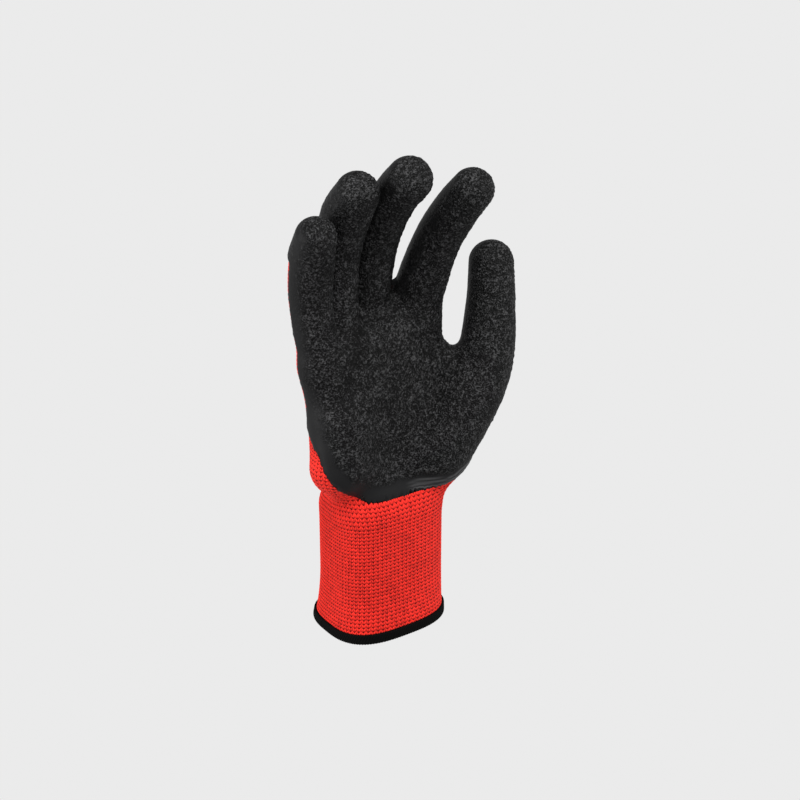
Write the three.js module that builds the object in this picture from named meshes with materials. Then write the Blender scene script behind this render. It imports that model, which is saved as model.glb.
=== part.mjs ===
// A knitted work glove with a crinkled latex palm coating, in the shape it has on a right hand.
// Millimetres, +Z up along the forearm, palm towards -Y, thumb towards +X.
// The origin is the centre of the cuff's opening.
//
// The hand's form is one smooth field: a slab for the palm, a rounded chain of bones for each digit
// and a tube for the cuff, blended into each other. A net of four-sided faces is laid over the field
// and drawn onto it, and each piece of the glove is a wall between two offsets of that net.
import * as THREE from 'three';

// Walls
const KNIT_WALL = 1.3;
const COATING_WALL = 0.8;
const LAYER_GAP = 0.3;

// Elastic cuff, from its lower edge to the seamless hand
const CUFF_LENGTH = 62;
const CUFF_HALF_WIDTH = 30.4;
const CUFF_HALF_DEPTH = 22;
const CUFF_SQUARENESS = 2.9;
const CUFF_FLARE_WIDTH = 0.9;
const CUFF_FLARE_DEPTH = 3.4;
const CUFF_FLARE_HEIGHT = 32;
const CUFF_AXIS_X = 2;
const CUFF_AXIS_Y = 0.5;

// Overlocked edge round the cuff
const HEM_HEIGHT = 5.0;
const HEM_WALL = 1.0;
const HEM_FLOOR = 1.4;
const HEM_ROUNDING = 0.8;

// Hand. Its own frame starts where the wrist bends.
const WRIST_X = 1.1;
const WRIST_Y = 0.5;
const WRIST_HEIGHT = 74;
const WRIST_EXTENSION = 17;
const PALM_LENGTH = 77;
const KNUCKLE_SPAN = 62;
const KNUCKLE_ARCH = 14;
const WRIST_SPREAD = 22;
const WRIST_RADIUS = 17;
const WRIST_SHIFT = 3.2;
const PALM_PADDING = 0.8;
const HEEL_RADIUS = 13.4;
const WEB_RISE = 17;
const WEB_RADIUS = 5.2;
const THUMB_WEB_RADIUS = 8;

// Shares of a knuckle's place where its metacarpal starts, and shares of the span, arch and length
// for the two ends of the heel. The thumb's web starts a share of the way down from the knuckle.
const METACARPAL_START = { x: 0.4, y: 0, z: 0.3 };
const HEEL = [
  { end: 'foot', x: -0.45, y: -0.8, z: 0.22 },
  { end: 'head', x: -0.385, y: -1.0, z: 0.48 },
];
const THUMB_WEB_SHARE = 0.22;

// Digits
const FINGER_LENGTH = 96;
const FINGER_RADIUS = 9.5;
const THUMB_LENGTH = 101;
const THUMB_RADIUS = 10.6;
const THUMB_TWIST = 25;

// Softness of the blends between the forms
const PALM_BLEND = 11;
const DIGIT_BLEND = 7;
const WEB_BLEND = 3;

// Where the coating ends on the palm: its height in the middle, its rise over the heel between two
// angles round the forearm and its rise at both sides
const COATING_HEIGHT = 75;
const COATING_HEEL_RISE = 28;
const COATING_HEEL_ANGLES = [36, 66];
const COATING_SIDE_RISE = 12;

// Places are shares: x of KNUCKLE_SPAN, y of KNUCKLE_ARCH, z of PALM_LENGTH, bones of FINGER_LENGTH
// and radii of FINGER_RADIUS. Angles are in degrees: splay in the palm's plane, bends towards the palm.
const FINGERS = [
  { digit: 'little', x: -0.465, y: -0.98, z: 0.865, splay: -4.6, bends: [10.5, 18.5, 12.5],
    bones: [0.375, 0.219, 0.146], radii: [0.93, 1.03, 1.05, 0.91] },
  { digit: 'ring', x: -0.226, y: -0.63, z: 0.896, splay: 1.2, bends: [11, 23.5, 18.5],
    bones: [0.469, 0.302, 0.167], radii: [1.03, 1.04, 1.13, 0.98] },
  { digit: 'middle', x: 0.127, y: 0.03, z: 0.995, splay: 1.3, bends: [26, 21.5, 15],
    bones: [0.51, 0.323, 0.167], radii: [1.07, 1.03, 1.03, 1.02] },
  { digit: 'index', x: 0.48, y: -0.5, z: 0.992, splay: 9, bends: [32.5, 16.5, 8.5],
    bones: [0.469, 0.271, 0.156], radii: [1.27, 1.09, 1.03, 0.96] },
];

// The thumb's bones are shares of THUMB_LENGTH and its radii of THUMB_RADIUS. Each bone has its own
// angle away from the hand's axis in the palm's plane and towards the palm.
const THUMB = {
  x: 0.44, y: -0.64, z: 0.145,
  bones: [
    { share: 0.46, out: 38, forward: 19.5, radius: 1.8 },
    { share: 0.347, out: 16.4, forward: 6.5, radius: 1.28 },
    { share: 0.193, out: 11, forward: 1, radius: 1.04 },
  ],
  tipRadius: 0.94,
};

// The net: columns run up the glove, and the ring of a digit has a third of them
const FINGER_COLUMNS = 12;
const FRONT_COLUMNS = 18;
const COLUMNS = 36;
const CUFF_ROWS = 8;
const PALM_ROWS = 14;
const COATING_ROW = 3;
const COATING_FIXED_COLUMNS = 13;
const COLUMNS_PER_FINGER = 4;
const THUMB_ROW = 5;
const THUMB_ROWS = 4;
const FINGER_RINGS = 10;
const THUMB_RINGS = 9;
const RING_CROWDING = 0.45;
const SIDE_ANGLE = 110;
const CUFF_SIDE_ANGLE = 98;
const TIP_LATITUDE = 42;
const TIP_SPREAD = 0.42;
const TIP_RISE = 0.8;
const COATED_TIP_RINGS = 4;
const THUMB_BASE = 0.8;
const THUMB_BASE_TILT = 0.3;

const SPREAD_ROUNDS = 60;
const RELAX_ROUNDS = 24;
const RELAX_SHARE = 0.5;
const FIELD_STEP = 0.05;
const SETTLE_ROUNDS = 6;
const LEAST_SLOPE = 0.3;
const SLAB_ROUNDS = 4;
const BONE_STEPS = 5;

const deg = THREE.MathUtils.degToRad;
const vec = (x, y, z) => new THREE.Vector3(x, y, z);

// The hand leans back from the forearm at the wrist
const wrist = vec(WRIST_X, WRIST_Y, WRIST_HEIGHT);
const lean = new THREE.Matrix4().makeRotationX(-deg(WRIST_EXTENSION));
const fromHand = (point) => point.clone().applyMatrix4(lean).add(wrist);
const turnedWithHand = (direction) => direction.clone().applyMatrix4(lean);

// A direction in the hand's frame: out in the palm's plane, then forward to the palm
function boneDirection(out, forward) {
  const along = vec(Math.sin(deg(out)), 0, Math.cos(deg(out)));
  return along.multiplyScalar(Math.cos(deg(forward))).add(vec(0, -Math.sin(deg(forward)), 0));
}

// A digit is a smooth curve through its joints with a radius at each joint
function makeDigit(joints, radii, side) {
  const curve = new THREE.CatmullRomCurve3(joints.map(fromHand), false, 'centripetal');
  const steps = (joints.length - 1) * BONE_STEPS;
  const samples = [];
  for (let i = 0; i <= steps; i++) {
    const t = i / steps;
    const joint = Math.min(Math.floor(t * (joints.length - 1)), joints.length - 2);
    const share = t * (joints.length - 1) - joint;
    const radius = THREE.MathUtils.lerp(radii[joint], radii[joint + 1], share);
    samples.push({ point: curve.getPoint(t), radius });
  }
  return { curve, samples, bones: joints.length - 1, side: turnedWithHand(side), radii };
}

// A place in the hand's frame from shares of its span, arch and length
const inHand = ({ x, y, z }) => vec(x * KNUCKLE_SPAN, y * KNUCKLE_ARCH, z * PALM_LENGTH);

function makeFinger(row) {
  const knuckle = inHand(row);
  const start = METACARPAL_START;
  const joints = [vec(knuckle.x * start.x, knuckle.y * start.y, knuckle.z * start.z), knuckle];
  let bend = 0;
  row.bones.forEach((share, i) => {
    bend += row.bends[i];
    joints.push(joints[joints.length - 1].clone().addScaledVector(
      boneDirection(row.splay, bend), share * FINGER_LENGTH));
  });
  const radii = [1.0, ...row.radii].map((share) => share * FINGER_RADIUS);
  const side = vec(Math.cos(deg(row.splay)), 0, -Math.sin(deg(row.splay)));
  return makeDigit(joints, radii, side);
}

function makeThumb() {
  const joints = [inHand(THUMB)];
  const radii = [];
  for (const bone of THUMB.bones) {
    radii.push(bone.radius * THUMB_RADIUS);
    joints.push(joints[joints.length - 1].clone().addScaledVector(
      boneDirection(bone.out, bone.forward), bone.share * THUMB_LENGTH));
  }
  radii.push(THUMB.tipRadius * THUMB_RADIUS);
  const pad = vec(-Math.sin(deg(THUMB_TWIST)), -Math.cos(deg(THUMB_TWIST)), 0);
  const digit = makeDigit(joints, radii, vec(1, 0, 0));
  digit.pad = turnedWithHand(pad);
  return digit;
}

const fingers = FINGERS.map(makeFinger);
const thumb = makeThumb();

// Distance to a straight piece between two spheres
function segmentDistance(p, a, b, radiusA, radiusB) {
  const abx = b.x - a.x;
  const aby = b.y - a.y;
  const abz = b.z - a.z;
  const apx = p.x - a.x;
  const apy = p.y - a.y;
  const apz = p.z - a.z;
  const length2 = abx * abx + aby * aby + abz * abz;
  const t = Math.min(1, Math.max(0, (apx * abx + apy * aby + apz * abz) / length2));
  return Math.hypot(apx - t * abx, apy - t * aby, apz - t * abz) - (radiusA + t * (radiusB - radiusA));
}

function chainDistance(p, samples) {
  let nearest = Infinity;
  for (let i = 1; i < samples.length; i++) {
    const a = samples[i - 1];
    const b = samples[i];
    nearest = Math.min(nearest, segmentDistance(p, a.point, b.point, a.radius, b.radius));
  }
  return nearest;
}

// The smaller of two distances with a round transition
function blend(a, b, softness) {
  const h = Math.max(softness - Math.abs(a - b), 0) / softness;
  return Math.min(a, b) - h * h * softness / 4;
}

// The palm is a slab with four corners, thick at the wrist and thinner at the knuckles. The nearest
// place on it is found by stepping across and up it in turn.
const knuckleOf = (finger) => finger.curve.getPoint(1 / finger.bones);
const slab = {
  wristLittle: fromHand(vec(WRIST_SHIFT - WRIST_SPREAD / 2, 0, 0)),
  wristIndex: fromHand(vec(WRIST_SHIFT + WRIST_SPREAD / 2, 0, 0)),
  knuckleLittle: knuckleOf(fingers[0]),
  knuckleIndex: knuckleOf(fingers[3]),
};
const clampShare = (share) => Math.min(1, Math.max(0, share));
function slabDistance(p) {
  const { wristLittle: a, wristIndex: b, knuckleLittle: c, knuckleIndex: d } = slab;
  const at = vec(0, 0, 0);
  const across = vec(0, 0, 0);
  const up = vec(0, 0, 0);
  let s = 0.5;
  let t = 0.5;
  const placeAt = () => at.copy(a).multiplyScalar((1 - s) * (1 - t)).addScaledVector(b, s * (1 - t))
    .addScaledVector(c, (1 - s) * t).addScaledVector(d, s * t);
  for (let round = 0; round < SLAB_ROUNDS; round++) {
    placeAt();
    across.copy(b).sub(a).multiplyScalar(1 - t).addScaledVector(d, t).addScaledVector(c, -t);
    up.copy(c).sub(a).multiplyScalar(1 - s).addScaledVector(d, s).addScaledVector(b, -s);
    const gap = p.clone().sub(at);
    s = clampShare(s + gap.dot(across) / across.lengthSq());
    t = clampShare(t + gap.dot(up) / up.lengthSq());
  }
  placeAt();
  const knuckles = THREE.MathUtils.lerp(fingers[0].radii[1], fingers[3].radii[1], s) + PALM_PADDING;
  return p.distanceTo(at) - THREE.MathUtils.lerp(WRIST_RADIUS, knuckles, t);
}

// The cuff is a tube with a squarish oval section. Towards its lower edge it flares, and its axis
// comes back to the origin.
function cuffDistance(p) {
  const below = Math.max(0, 1 - p.z / CUFF_FLARE_HEIGHT) ** 2;
  const halfWidth = CUFF_HALF_WIDTH + CUFF_FLARE_WIDTH * below;
  const halfDepth = CUFF_HALF_DEPTH + CUFF_FLARE_DEPTH * below;
  const x = p.x - CUFF_AXIS_X * (1 - below);
  const y = p.y - CUFF_AXIS_Y * (1 - below);
  const norm = (Math.abs(x / halfWidth) ** CUFF_SQUARENESS
    + Math.abs(y / halfDepth) ** CUFF_SQUARENESS) ** (1 / CUFF_SQUARENESS);
  const wall = Math.hypot(x, y) * (1 - 1 / Math.max(norm, 1e-6));
  return -blend(-wall, WRIST_HEIGHT - p.z, PALM_BLEND);
}

// The heel of the palm below the little finger, and a web between each pair of neighbours
const heel = HEEL.map((row) => fromHand(inHand(row)));
function alongFinger(finger, distance) {
  const bone = finger.curve.getPoint(2 / finger.bones).distanceTo(knuckleOf(finger));
  return finger.curve.getPoint((1 + distance / bone) / finger.bones);
}
const webPlace = (finger) => alongFinger(finger, WEB_RISE - WEB_RADIUS);
const webs = fingers.slice(1).map((finger, i) => [webPlace(fingers[i]), webPlace(finger)]);
const thumbWeb = [
  thumb.curve.getPoint(1 / thumb.bones),
  slab.knuckleIndex.clone().lerp(slab.wristIndex, THUMB_WEB_SHARE),
];

function field(p) {
  let body = blend(slabDistance(p), cuffDistance(p), PALM_BLEND);
  body = blend(body, segmentDistance(p, heel[0], heel[1], HEEL_RADIUS, HEEL_RADIUS), PALM_BLEND);
  let digits = chainDistance(p, thumb.samples);
  for (const finger of fingers) {
    digits = blend(digits, chainDistance(p, finger.samples), WEB_BLEND);
  }
  for (const web of webs) {
    digits = blend(digits, segmentDistance(p, web[0], web[1], WEB_RADIUS, WEB_RADIUS), WEB_BLEND);
  }
  const rod = segmentDistance(p, thumbWeb[0], thumbWeb[1], THUMB_WEB_RADIUS, THUMB_WEB_RADIUS);
  return blend(blend(body, rod, PALM_BLEND), digits, DIGIT_BLEND);
}

function slope(p) {
  const g = vec(0, 0, 0);
  for (const axis of ['x', 'y', 'z']) {
    const q = p.clone();
    q[axis] += FIELD_STEP;
    const ahead = field(q);
    q[axis] -= 2 * FIELD_STEP;
    g[axis] = (ahead - field(q)) / (2 * FIELD_STEP);
  }
  return g;
}

// Draws a point onto the field's surface along the field's slope
function settle(p) {
  for (let round = 0; round < SETTLE_ROUNDS; round++) {
    const g = slope(p);
    p.addScaledVector(g, -field(p) / Math.max(g.lengthSq(), LEAST_SLOPE));
  }
  return p;
}

// Draws a point of the cuff onto the surface straight out from the forearm's axis
function settleOutward(p) {
  const out = vec(p.x, p.y, 0).normalize();
  for (let round = 0; round < SETTLE_ROUNDS; round++) {
    const ahead = p.clone().addScaledVector(out, FIELD_STEP);
    const rate = (field(ahead) - field(p)) / FIELD_STEP;
    p.addScaledVector(out, -field(p) / Math.max(rate, LEAST_SLOPE));
  }
  return p;
}

// The net's corners and faces
const corners = [];
const faces = [];
const held = new Set();
function addCorner(point, isHeld = false) {
  corners.push(point);
  if (isHeld) held.add(corners.length - 1);
  return corners.length - 1;
}
function addFace(a, b, c, d, zone, coated) {
  faces.push({ loop: [a, b, c, d], zone, coated });
}

// The angle of a column from the middle of the palm side, positive towards the thumb. Half of the
// columns share the front, up to the side angle either way, and half share the back.
function splitAngle(place, count, side) {
  const half = count / 2;
  if (place <= half) return -side + (2 * side * place) / half;
  return side + ((360 - 2 * side) * (place - half)) / half;
}
const ringAngle = (k) => splitAngle(k, FINGER_COLUMNS, SIDE_ANGLE);
const cuffAngle = (j) => splitAngle(j, COLUMNS, CUFF_SIDE_ANGLE);

// A point on a circle round a digit's curve. The palm side is at 0 degrees.
function roundDigit(digit, t, angle, scale, ahead) {
  const centre = digit.curve.getPoint(Math.min(t, 1));
  const along = digit.curve.getTangent(Math.min(t, 1));
  const towards = digit.pad
    ? digit.pad.clone().addScaledVector(along, -digit.pad.dot(along)).normalize()
    : digit.side.clone().cross(along).normalize();
  const outward = along.clone().cross(towards);
  const bone = Math.min(Math.floor(t * digit.bones), digit.bones - 1);
  const share = t * digit.bones - bone;
  const radius = THREE.MathUtils.lerp(digit.radii[bone], digit.radii[bone + 1], share);
  return centre.addScaledVector(towards, Math.cos(deg(angle)) * radius * scale)
    .addScaledVector(outward, Math.sin(deg(angle)) * radius * scale)
    .addScaledVector(along, ahead * radius);
}

// Each finger's base ring shares its side corners with its neighbours and the rest with the palm
const topRow = new Array(COLUMNS).fill(null);
const baseRings = fingers.map(() => []);
const fingerStart = fingers.map((finger) => {
  const bone = finger.curve.getPoint(2 / finger.bones).distanceTo(knuckleOf(finger));
  return (1 + (WEB_RISE + 1) / bone) / finger.bones;
});
const HALF_RING = FINGER_COLUMNS / 2;
const lastFinger = fingers.length - 1;
function ringKey(i, k) {
  if (k === 0) return i === 0 ? 'column0' : `web${i - 1}`;
  if (k === HALF_RING) return i === lastFinger ? `column${FRONT_COLUMNS}` : `web${i}`;
  if (k < HALF_RING) return `column${COLUMNS_PER_FINGER * i + k}`;
  return `column${COLUMNS - FINGER_COLUMNS - COLUMNS_PER_FINGER * i + k}`;
}
const candidates = new Map();
fingers.forEach((finger, i) => {
  for (let k = 0; k < FINGER_COLUMNS; k++) {
    const key = ringKey(i, k);
    const point = roundDigit(finger, fingerStart[i], ringAngle(k), 1, 0);
    if (!candidates.has(key)) candidates.set(key, []);
    candidates.get(key).push(point);
    baseRings[i].push(key);
  }
});
const cornerOf = new Map();
for (const [key, points] of candidates) {
  const mean = points.reduce((sum, q) => sum.add(q), vec(0, 0, 0)).divideScalar(points.length);
  cornerOf.set(key, addCorner(settle(mean), true));
}
for (let j = 0; j < COLUMNS; j++) topRow[j] = cornerOf.get(`column${j}`);

// Cuff rows, from the hem's channel to the hand
function oval(j, z) {
  const angle = deg(cuffAngle(j));
  return settleOutward(vec(Math.sin(angle) * CUFF_HALF_WIDTH, -Math.cos(angle) * CUFF_HALF_DEPTH, z));
}
const columns = [...Array(COLUMNS).keys()];
const cuffFoot = HEM_FLOOR + LAYER_GAP;
const cuffHeights = [cuffFoot, ...[...Array(CUFF_ROWS).keys()].map(
  (r) => THREE.MathUtils.lerp(HEM_HEIGHT + LAYER_GAP, CUFF_LENGTH, r / (CUFF_ROWS - 1)))];
const cuffRows = cuffHeights.map((z) => columns.map((j) => addCorner(oval(j, z), true)));

// Hand rows. One of them is the coating's lower edge, which climbs at both sides of the palm.
const rows = [columns.map((j) => addCorner(oval(j, CUFF_LENGTH + LAYER_GAP), true))];
function coatingEdge(j) {
  const angle = cuffAngle(j) > 180 ? cuffAngle(j) - 360 : cuffAngle(j);
  const overHeel = THREE.MathUtils.smoothstep(-angle, ...COATING_HEEL_ANGLES);
  const side = Math.min(1, Math.abs(angle) / CUFF_SIDE_ANGLE);
  return COATING_HEIGHT + COATING_HEEL_RISE * overHeel + COATING_SIDE_RISE * side ** 4;
}
const inThumbHole = (j, r) => j === FRONT_COLUMNS && r > THUMB_ROW && r < THUMB_ROW + THUMB_ROWS;
for (let r = 1; r < PALM_ROWS; r++) {
  rows.push(columns.map((j) => {
    const foot = corners[rows[0][j]];
    const head = corners[topRow[j]];
    const edge = THREE.MathUtils.clamp((coatingEdge(j) - foot.z) / (head.z - foot.z), 0, 1);
    const share = r <= COATING_ROW ? (edge * r) / COATING_ROW
      : THREE.MathUtils.lerp(edge, 1, (r - COATING_ROW) / (PALM_ROWS - COATING_ROW));
    if (inThumbHole(j, r)) return -1;
    const start = foot.clone().lerp(head, share);
    const isFixed = r === COATING_ROW && j <= COATING_FIXED_COLUMNS;
    return addCorner(isFixed ? settleOutward(start) : settle(start), isFixed);
  }));
}
rows.push(topRow);

// The thumb's base ring runs round a hole of two columns and four rows at the side of the palm.
// It leans: nearer the tip at the web and nearer the wrist on the outside.
const holeRows = rows.slice(THUMB_ROW, THUMB_ROW + THUMB_ROWS + 1);
const thumbBase = [
  holeRows[0][FRONT_COLUMNS],
  ...holeRows.map((row) => row[FRONT_COLUMNS + 1]),
  holeRows[THUMB_ROWS][FRONT_COLUMNS],
  ...holeRows.map((row) => row[FRONT_COLUMNS - 1]).reverse(),
];
const thumbAngle = (k) => ringAngle((k + HALF_RING) % FINGER_COLUMNS);
const thumbStart = (k) => (THUMB_BASE - THUMB_BASE_TILT * Math.sin(deg(thumbAngle(k)))) / thumb.bones;
thumbBase.forEach((corner, k) => {
  corners[corner].copy(settle(roundDigit(thumb, thumbStart(k), thumbAngle(k), 1.0, 0)));
});
held.add(thumbBase[0]);
held.add(thumbBase[HALF_RING]);

function addBand(lower, upper, zone, isCoated) {
  columns.forEach((j) => {
    const n = (j + 1) % COLUMNS;
    const loop = [lower[j], lower[n], upper[n], upper[j]];
    if (!loop.includes(-1)) addFace(...loop, zone, isCoated(j));
  });
}
for (let r = 1; r < cuffRows.length; r++) addBand(cuffRows[r - 1], cuffRows[r], 'cuff', () => false);
for (let r = 0; r < PALM_ROWS; r++) {
  addBand(rows[r], rows[r + 1], 'hand', (j) => j <= FRONT_COLUMNS && r >= COATING_ROW);
}

// Rings up a digit from its base ring, closed at the tip by three by three faces
function addDigit(digit, base, startOf, angleOf, isCoated, ringCount) {
  let below = base;
  for (let m = 1; m <= ringCount; m++) {
    const step = Math.min(m, ringCount - 1) / (ringCount - 1);
    const eased = step - (RING_CROWDING * Math.sin(2 * Math.PI * step)) / (2 * Math.PI);
    const atTip = m === ringCount;
    const ring = [];
    for (let k = 0; k < FINGER_COLUMNS; k++) {
      const scale = atTip ? Math.cos(deg(TIP_LATITUDE)) : 1;
      const ahead = atTip ? Math.sin(deg(TIP_LATITUDE)) : 0;
      const t = THREE.MathUtils.lerp(startOf(k), 1, eased);
      ring.push(addCorner(settle(roundDigit(digit, t, angleOf(k), scale, ahead)), true));
    }
    for (let k = 0; k < FINGER_COLUMNS; k++) {
      const n = (k + 1) % FINGER_COLUMNS;
      const coated = isCoated(k, m) || m > ringCount - COATED_TIP_RINGS;
      addFace(below[k], below[n], ring[n], ring[k], 'hand', coated);
    }
    below = ring;
  }
  // Four corners inside the last ring, one towards each end of its quarters
  const centre = below.reduce((sum, c) => sum.add(corners[c]), vec(0, 0, 0)).divideScalar(FINGER_COLUMNS);
  const peak = roundDigit(digit, 1, 0, 0, 1).sub(centre).multiplyScalar(TIP_RISE);
  const quarter = FINGER_COLUMNS / 4;
  const inner = [...Array(4).keys()].map((q) => {
    const towards = corners[below[q * quarter]];
    return addCorner(settle(centre.clone().lerp(towards, TIP_SPREAD).add(peak)), true);
  });
  const grid = [
    below.slice(0, quarter + 1),
    [below[FINGER_COLUMNS - 1], inner[0], inner[1], below[quarter + 1]],
    [below[FINGER_COLUMNS - 2], inner[3], inner[2], below[quarter + 2]],
    below.slice(2 * quarter, 3 * quarter + 1).reverse(),
  ];
  for (let a = 0; a < quarter; a++) {
    for (let b = 0; b < quarter; b++) {
      addFace(grid[a][b], grid[a][b + 1], grid[a + 1][b + 1], grid[a + 1][b], 'hand', true);
    }
  }
}
// The coating covers a digit's palm side and one more column towards the thumb. The other way it
// covers two more, but none on the little finger, whose tip it covers one ring further down.
fingers.forEach((finger, i) => {
  const base = baseRings[i].map((key) => cornerOf.get(key));
  const isCoated = (k, m) => k <= HALF_RING
    || (i > 0 ? k >= FINGER_COLUMNS - 2 : m >= FINGER_RINGS - COATED_TIP_RINGS);
  addDigit(finger, base, () => fingerStart[i], ringAngle, isCoated, FINGER_RINGS);
});
addDigit(thumb, thumbBase, thumbStart, thumbAngle, (k) => k >= HALF_RING - 1 || k === 0, THUMB_RINGS);

// Evens out the net: first the thumb's ring pulls the palm's corners into place, then each free
// corner moves towards the middle of its neighbours and settles on the surface again
const neighbours = corners.map(() => new Set());
for (const { loop } of faces) {
  loop.forEach((c, i) => {
    neighbours[c].add(loop[(i + 1) % 4]);
    neighbours[c].add(loop[(i + 3) % 4]);
  });
}
function evenOut(fixed, place) {
  const moved = corners.map((corner, c) => {
    if (fixed.has(c)) return corner.clone();
    const mean = vec(0, 0, 0);
    for (const n of neighbours[c]) mean.add(corners[n]);
    mean.divideScalar(neighbours[c].size);
    return place(corner.clone().lerp(mean, RELAX_SHARE));
  });
  moved.forEach((corner, c) => corners[c].copy(corner));
}
const heldWithThumb = new Set([...held, ...thumbBase]);
for (let round = 0; round < SPREAD_ROUNDS; round++) evenOut(heldWithThumb, (corner) => corner);
for (let round = 0; round < RELAX_ROUNDS; round++) evenOut(held, settle);

const level = new Set([...cuffRows.flat(), ...rows[0]]);
const normals = corners.map((corner, c) => {
  const normal = slope(corner);
  if (level.has(c)) normal.z = 0;
  return normal.normalize();
});

function meshGeometry(positions, triangles) {
  const geometry = new THREE.BufferGeometry();
  geometry.setAttribute('position', new THREE.Float32BufferAttribute(positions, 3));
  geometry.setIndex(triangles);
  geometry.computeVertexNormals();
  return geometry;
}

// A closed wall over some faces of the net, between two offsets from it
function wallGeometry(chosen, outerOffset, innerOffset) {
  const positions = [];
  const index = new Map();
  const used = [...new Set(chosen.flatMap((face) => face.loop))];
  for (const offset of [outerOffset, innerOffset]) {
    used.forEach((c) => {
      index.set(`${offset},${c}`, positions.length / 3);
      const q = corners[c].clone().addScaledVector(normals[c], offset);
      positions.push(q.x, q.y, q.z);
    });
  }
  const outer = (c) => index.get(`${outerOffset},${c}`);
  const inner = (c) => index.get(`${innerOffset},${c}`);
  const triangles = [];
  const open = new Map();
  for (const { loop: [a, b, c, d] } of chosen) {
    triangles.push(outer(a), outer(b), outer(c), outer(a), outer(c), outer(d));
    triangles.push(inner(a), inner(c), inner(b), inner(a), inner(d), inner(c));
    for (const [from, to] of [[a, b], [b, c], [c, d], [d, a]]) {
      if (open.has(`${to},${from}`)) open.delete(`${to},${from}`);
      else open.set(`${from},${to}`, [from, to]);
    }
  }
  for (const [from, to] of open.values()) {
    triangles.push(outer(to), outer(from), inner(from), outer(to), inner(from), inner(to));
  }
  return meshGeometry(positions, triangles);
}

// The hem is a channel round the cuff's lower edge: a closed outline of offsets from the net and
// heights, carried round the opening
function hemGeometry() {
  const outside = LAYER_GAP + HEM_WALL;
  const inside = -KNIT_WALL - LAYER_GAP - HEM_WALL;
  const outline = [
    [outside, HEM_HEIGHT], [LAYER_GAP, HEM_HEIGHT], [LAYER_GAP, HEM_FLOOR],
    [inside + HEM_WALL, HEM_FLOOR], [inside + HEM_WALL, HEM_HEIGHT], [inside, HEM_HEIGHT],
    [inside, HEM_ROUNDING], [inside + HEM_ROUNDING, 0],
    [outside - HEM_ROUNDING, 0], [outside, HEM_ROUNDING],
  ];
  const positions = [];
  const triangles = [];
  for (const j of columns) {
    for (const [offset, z] of outline) {
      const on = oval(j, Math.max(z, cuffFoot));
      const normal = slope(on).setZ(0).normalize();
      positions.push(on.x + normal.x * offset, on.y + normal.y * offset, z);
    }
  }
  const count = outline.length;
  const at = (j, i) => (j % COLUMNS) * count + (i % count);
  for (const j of columns) {
    for (let i = 0; i < count; i++) {
      triangles.push(at(j, i), at(j + 1, i), at(j + 1, i + 1), at(j, i), at(j + 1, i + 1), at(j, i + 1));
    }
  }
  return meshGeometry(positions, triangles);
}

const cloth = { color: 0xd8281f, roughness: 0.85, metalness: 0 };
const latex = { color: 0x262627, roughness: 0.55, metalness: 0 };
const yarn = { color: 0x0e0e0f, roughness: 0.9, metalness: 0 };

function piece(name, geometry, look) {
  const mesh = new THREE.Mesh(geometry, new THREE.MeshStandardMaterial(look));
  mesh.name = name;
  return mesh;
}

const handFaces = faces.filter((face) => face.zone === 'hand');
const cuffFaces = faces.filter((face) => face.zone === 'cuff');
const coatedFaces = faces.filter((face) => face.coated);
const coatingTop = LAYER_GAP + COATING_WALL;

const glove = new THREE.Group();
glove.add(piece('knit_hand', wallGeometry(handFaces, 0, -KNIT_WALL), cloth));
glove.add(piece('knit_cuff', wallGeometry(cuffFaces, 0, -KNIT_WALL), cloth));
glove.add(piece('latex_coating', wallGeometry(coatedFaces, coatingTop, LAYER_GAP), latex));
glove.add(piece('overlock_hem', hemGeometry(), yarn));

export default glove;
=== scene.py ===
"""A knitted work glove with a crinkled latex palm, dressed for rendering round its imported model.

The hand's form is a smooth field, the same as the model's: a slab for the palm, a rounded chain of
bones for each digit and a tube for the cuff. A net of four-sided faces is laid over it, evened out,
and every piece is worked out on finer grids over those faces, with stitches, crinkles or thread
turns raised from it. Lengths in the form and the net are millimetres, and meshes are made in metres.
"""

import bpy
import numpy as np
from bpy.props import FloatProperty, FloatVectorProperty, PointerProperty
from bpy.types import Operator, Panel, PropertyGroup
from mathutils import Matrix


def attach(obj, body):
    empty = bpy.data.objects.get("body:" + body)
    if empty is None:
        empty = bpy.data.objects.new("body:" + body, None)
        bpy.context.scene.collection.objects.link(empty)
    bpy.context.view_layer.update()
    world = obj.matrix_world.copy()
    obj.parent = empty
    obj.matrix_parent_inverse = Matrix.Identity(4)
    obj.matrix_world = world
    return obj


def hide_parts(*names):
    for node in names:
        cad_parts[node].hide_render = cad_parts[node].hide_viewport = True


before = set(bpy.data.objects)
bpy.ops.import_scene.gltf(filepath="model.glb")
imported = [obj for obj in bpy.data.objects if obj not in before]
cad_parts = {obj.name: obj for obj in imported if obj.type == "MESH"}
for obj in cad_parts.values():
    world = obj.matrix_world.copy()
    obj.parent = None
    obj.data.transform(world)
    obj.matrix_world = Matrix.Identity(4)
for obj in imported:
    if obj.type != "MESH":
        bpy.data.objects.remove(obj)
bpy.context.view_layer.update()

bl_info = {
    "name": "Latex coated grip glove",
    "version": (1, 0, 0),
    "blender": (4, 5, 0),
    "location": "View3D > Sidebar > Glove",
    "description": "Builds a knitted work glove with a crinkled latex palm and an overlocked cuff",
    "category": "Object",
}

MM = 0.001

# Walls
KNIT_WALL = 1.3
COATING_WALL = 0.8
LAYER_GAP = 0.3
SEAM_GAP = 0.05

# Elastic cuff
CUFF_LENGTH = 62
CUFF_HALF_WIDTH = 30.4
CUFF_HALF_DEPTH = 22
CUFF_SQUARENESS = 2.9
CUFF_FLARE_WIDTH = 0.9
CUFF_FLARE_DEPTH = 3.4
CUFF_FLARE_HEIGHT = 32
CUFF_AXIS_X = 2
CUFF_AXIS_Y = 0.5

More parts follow.
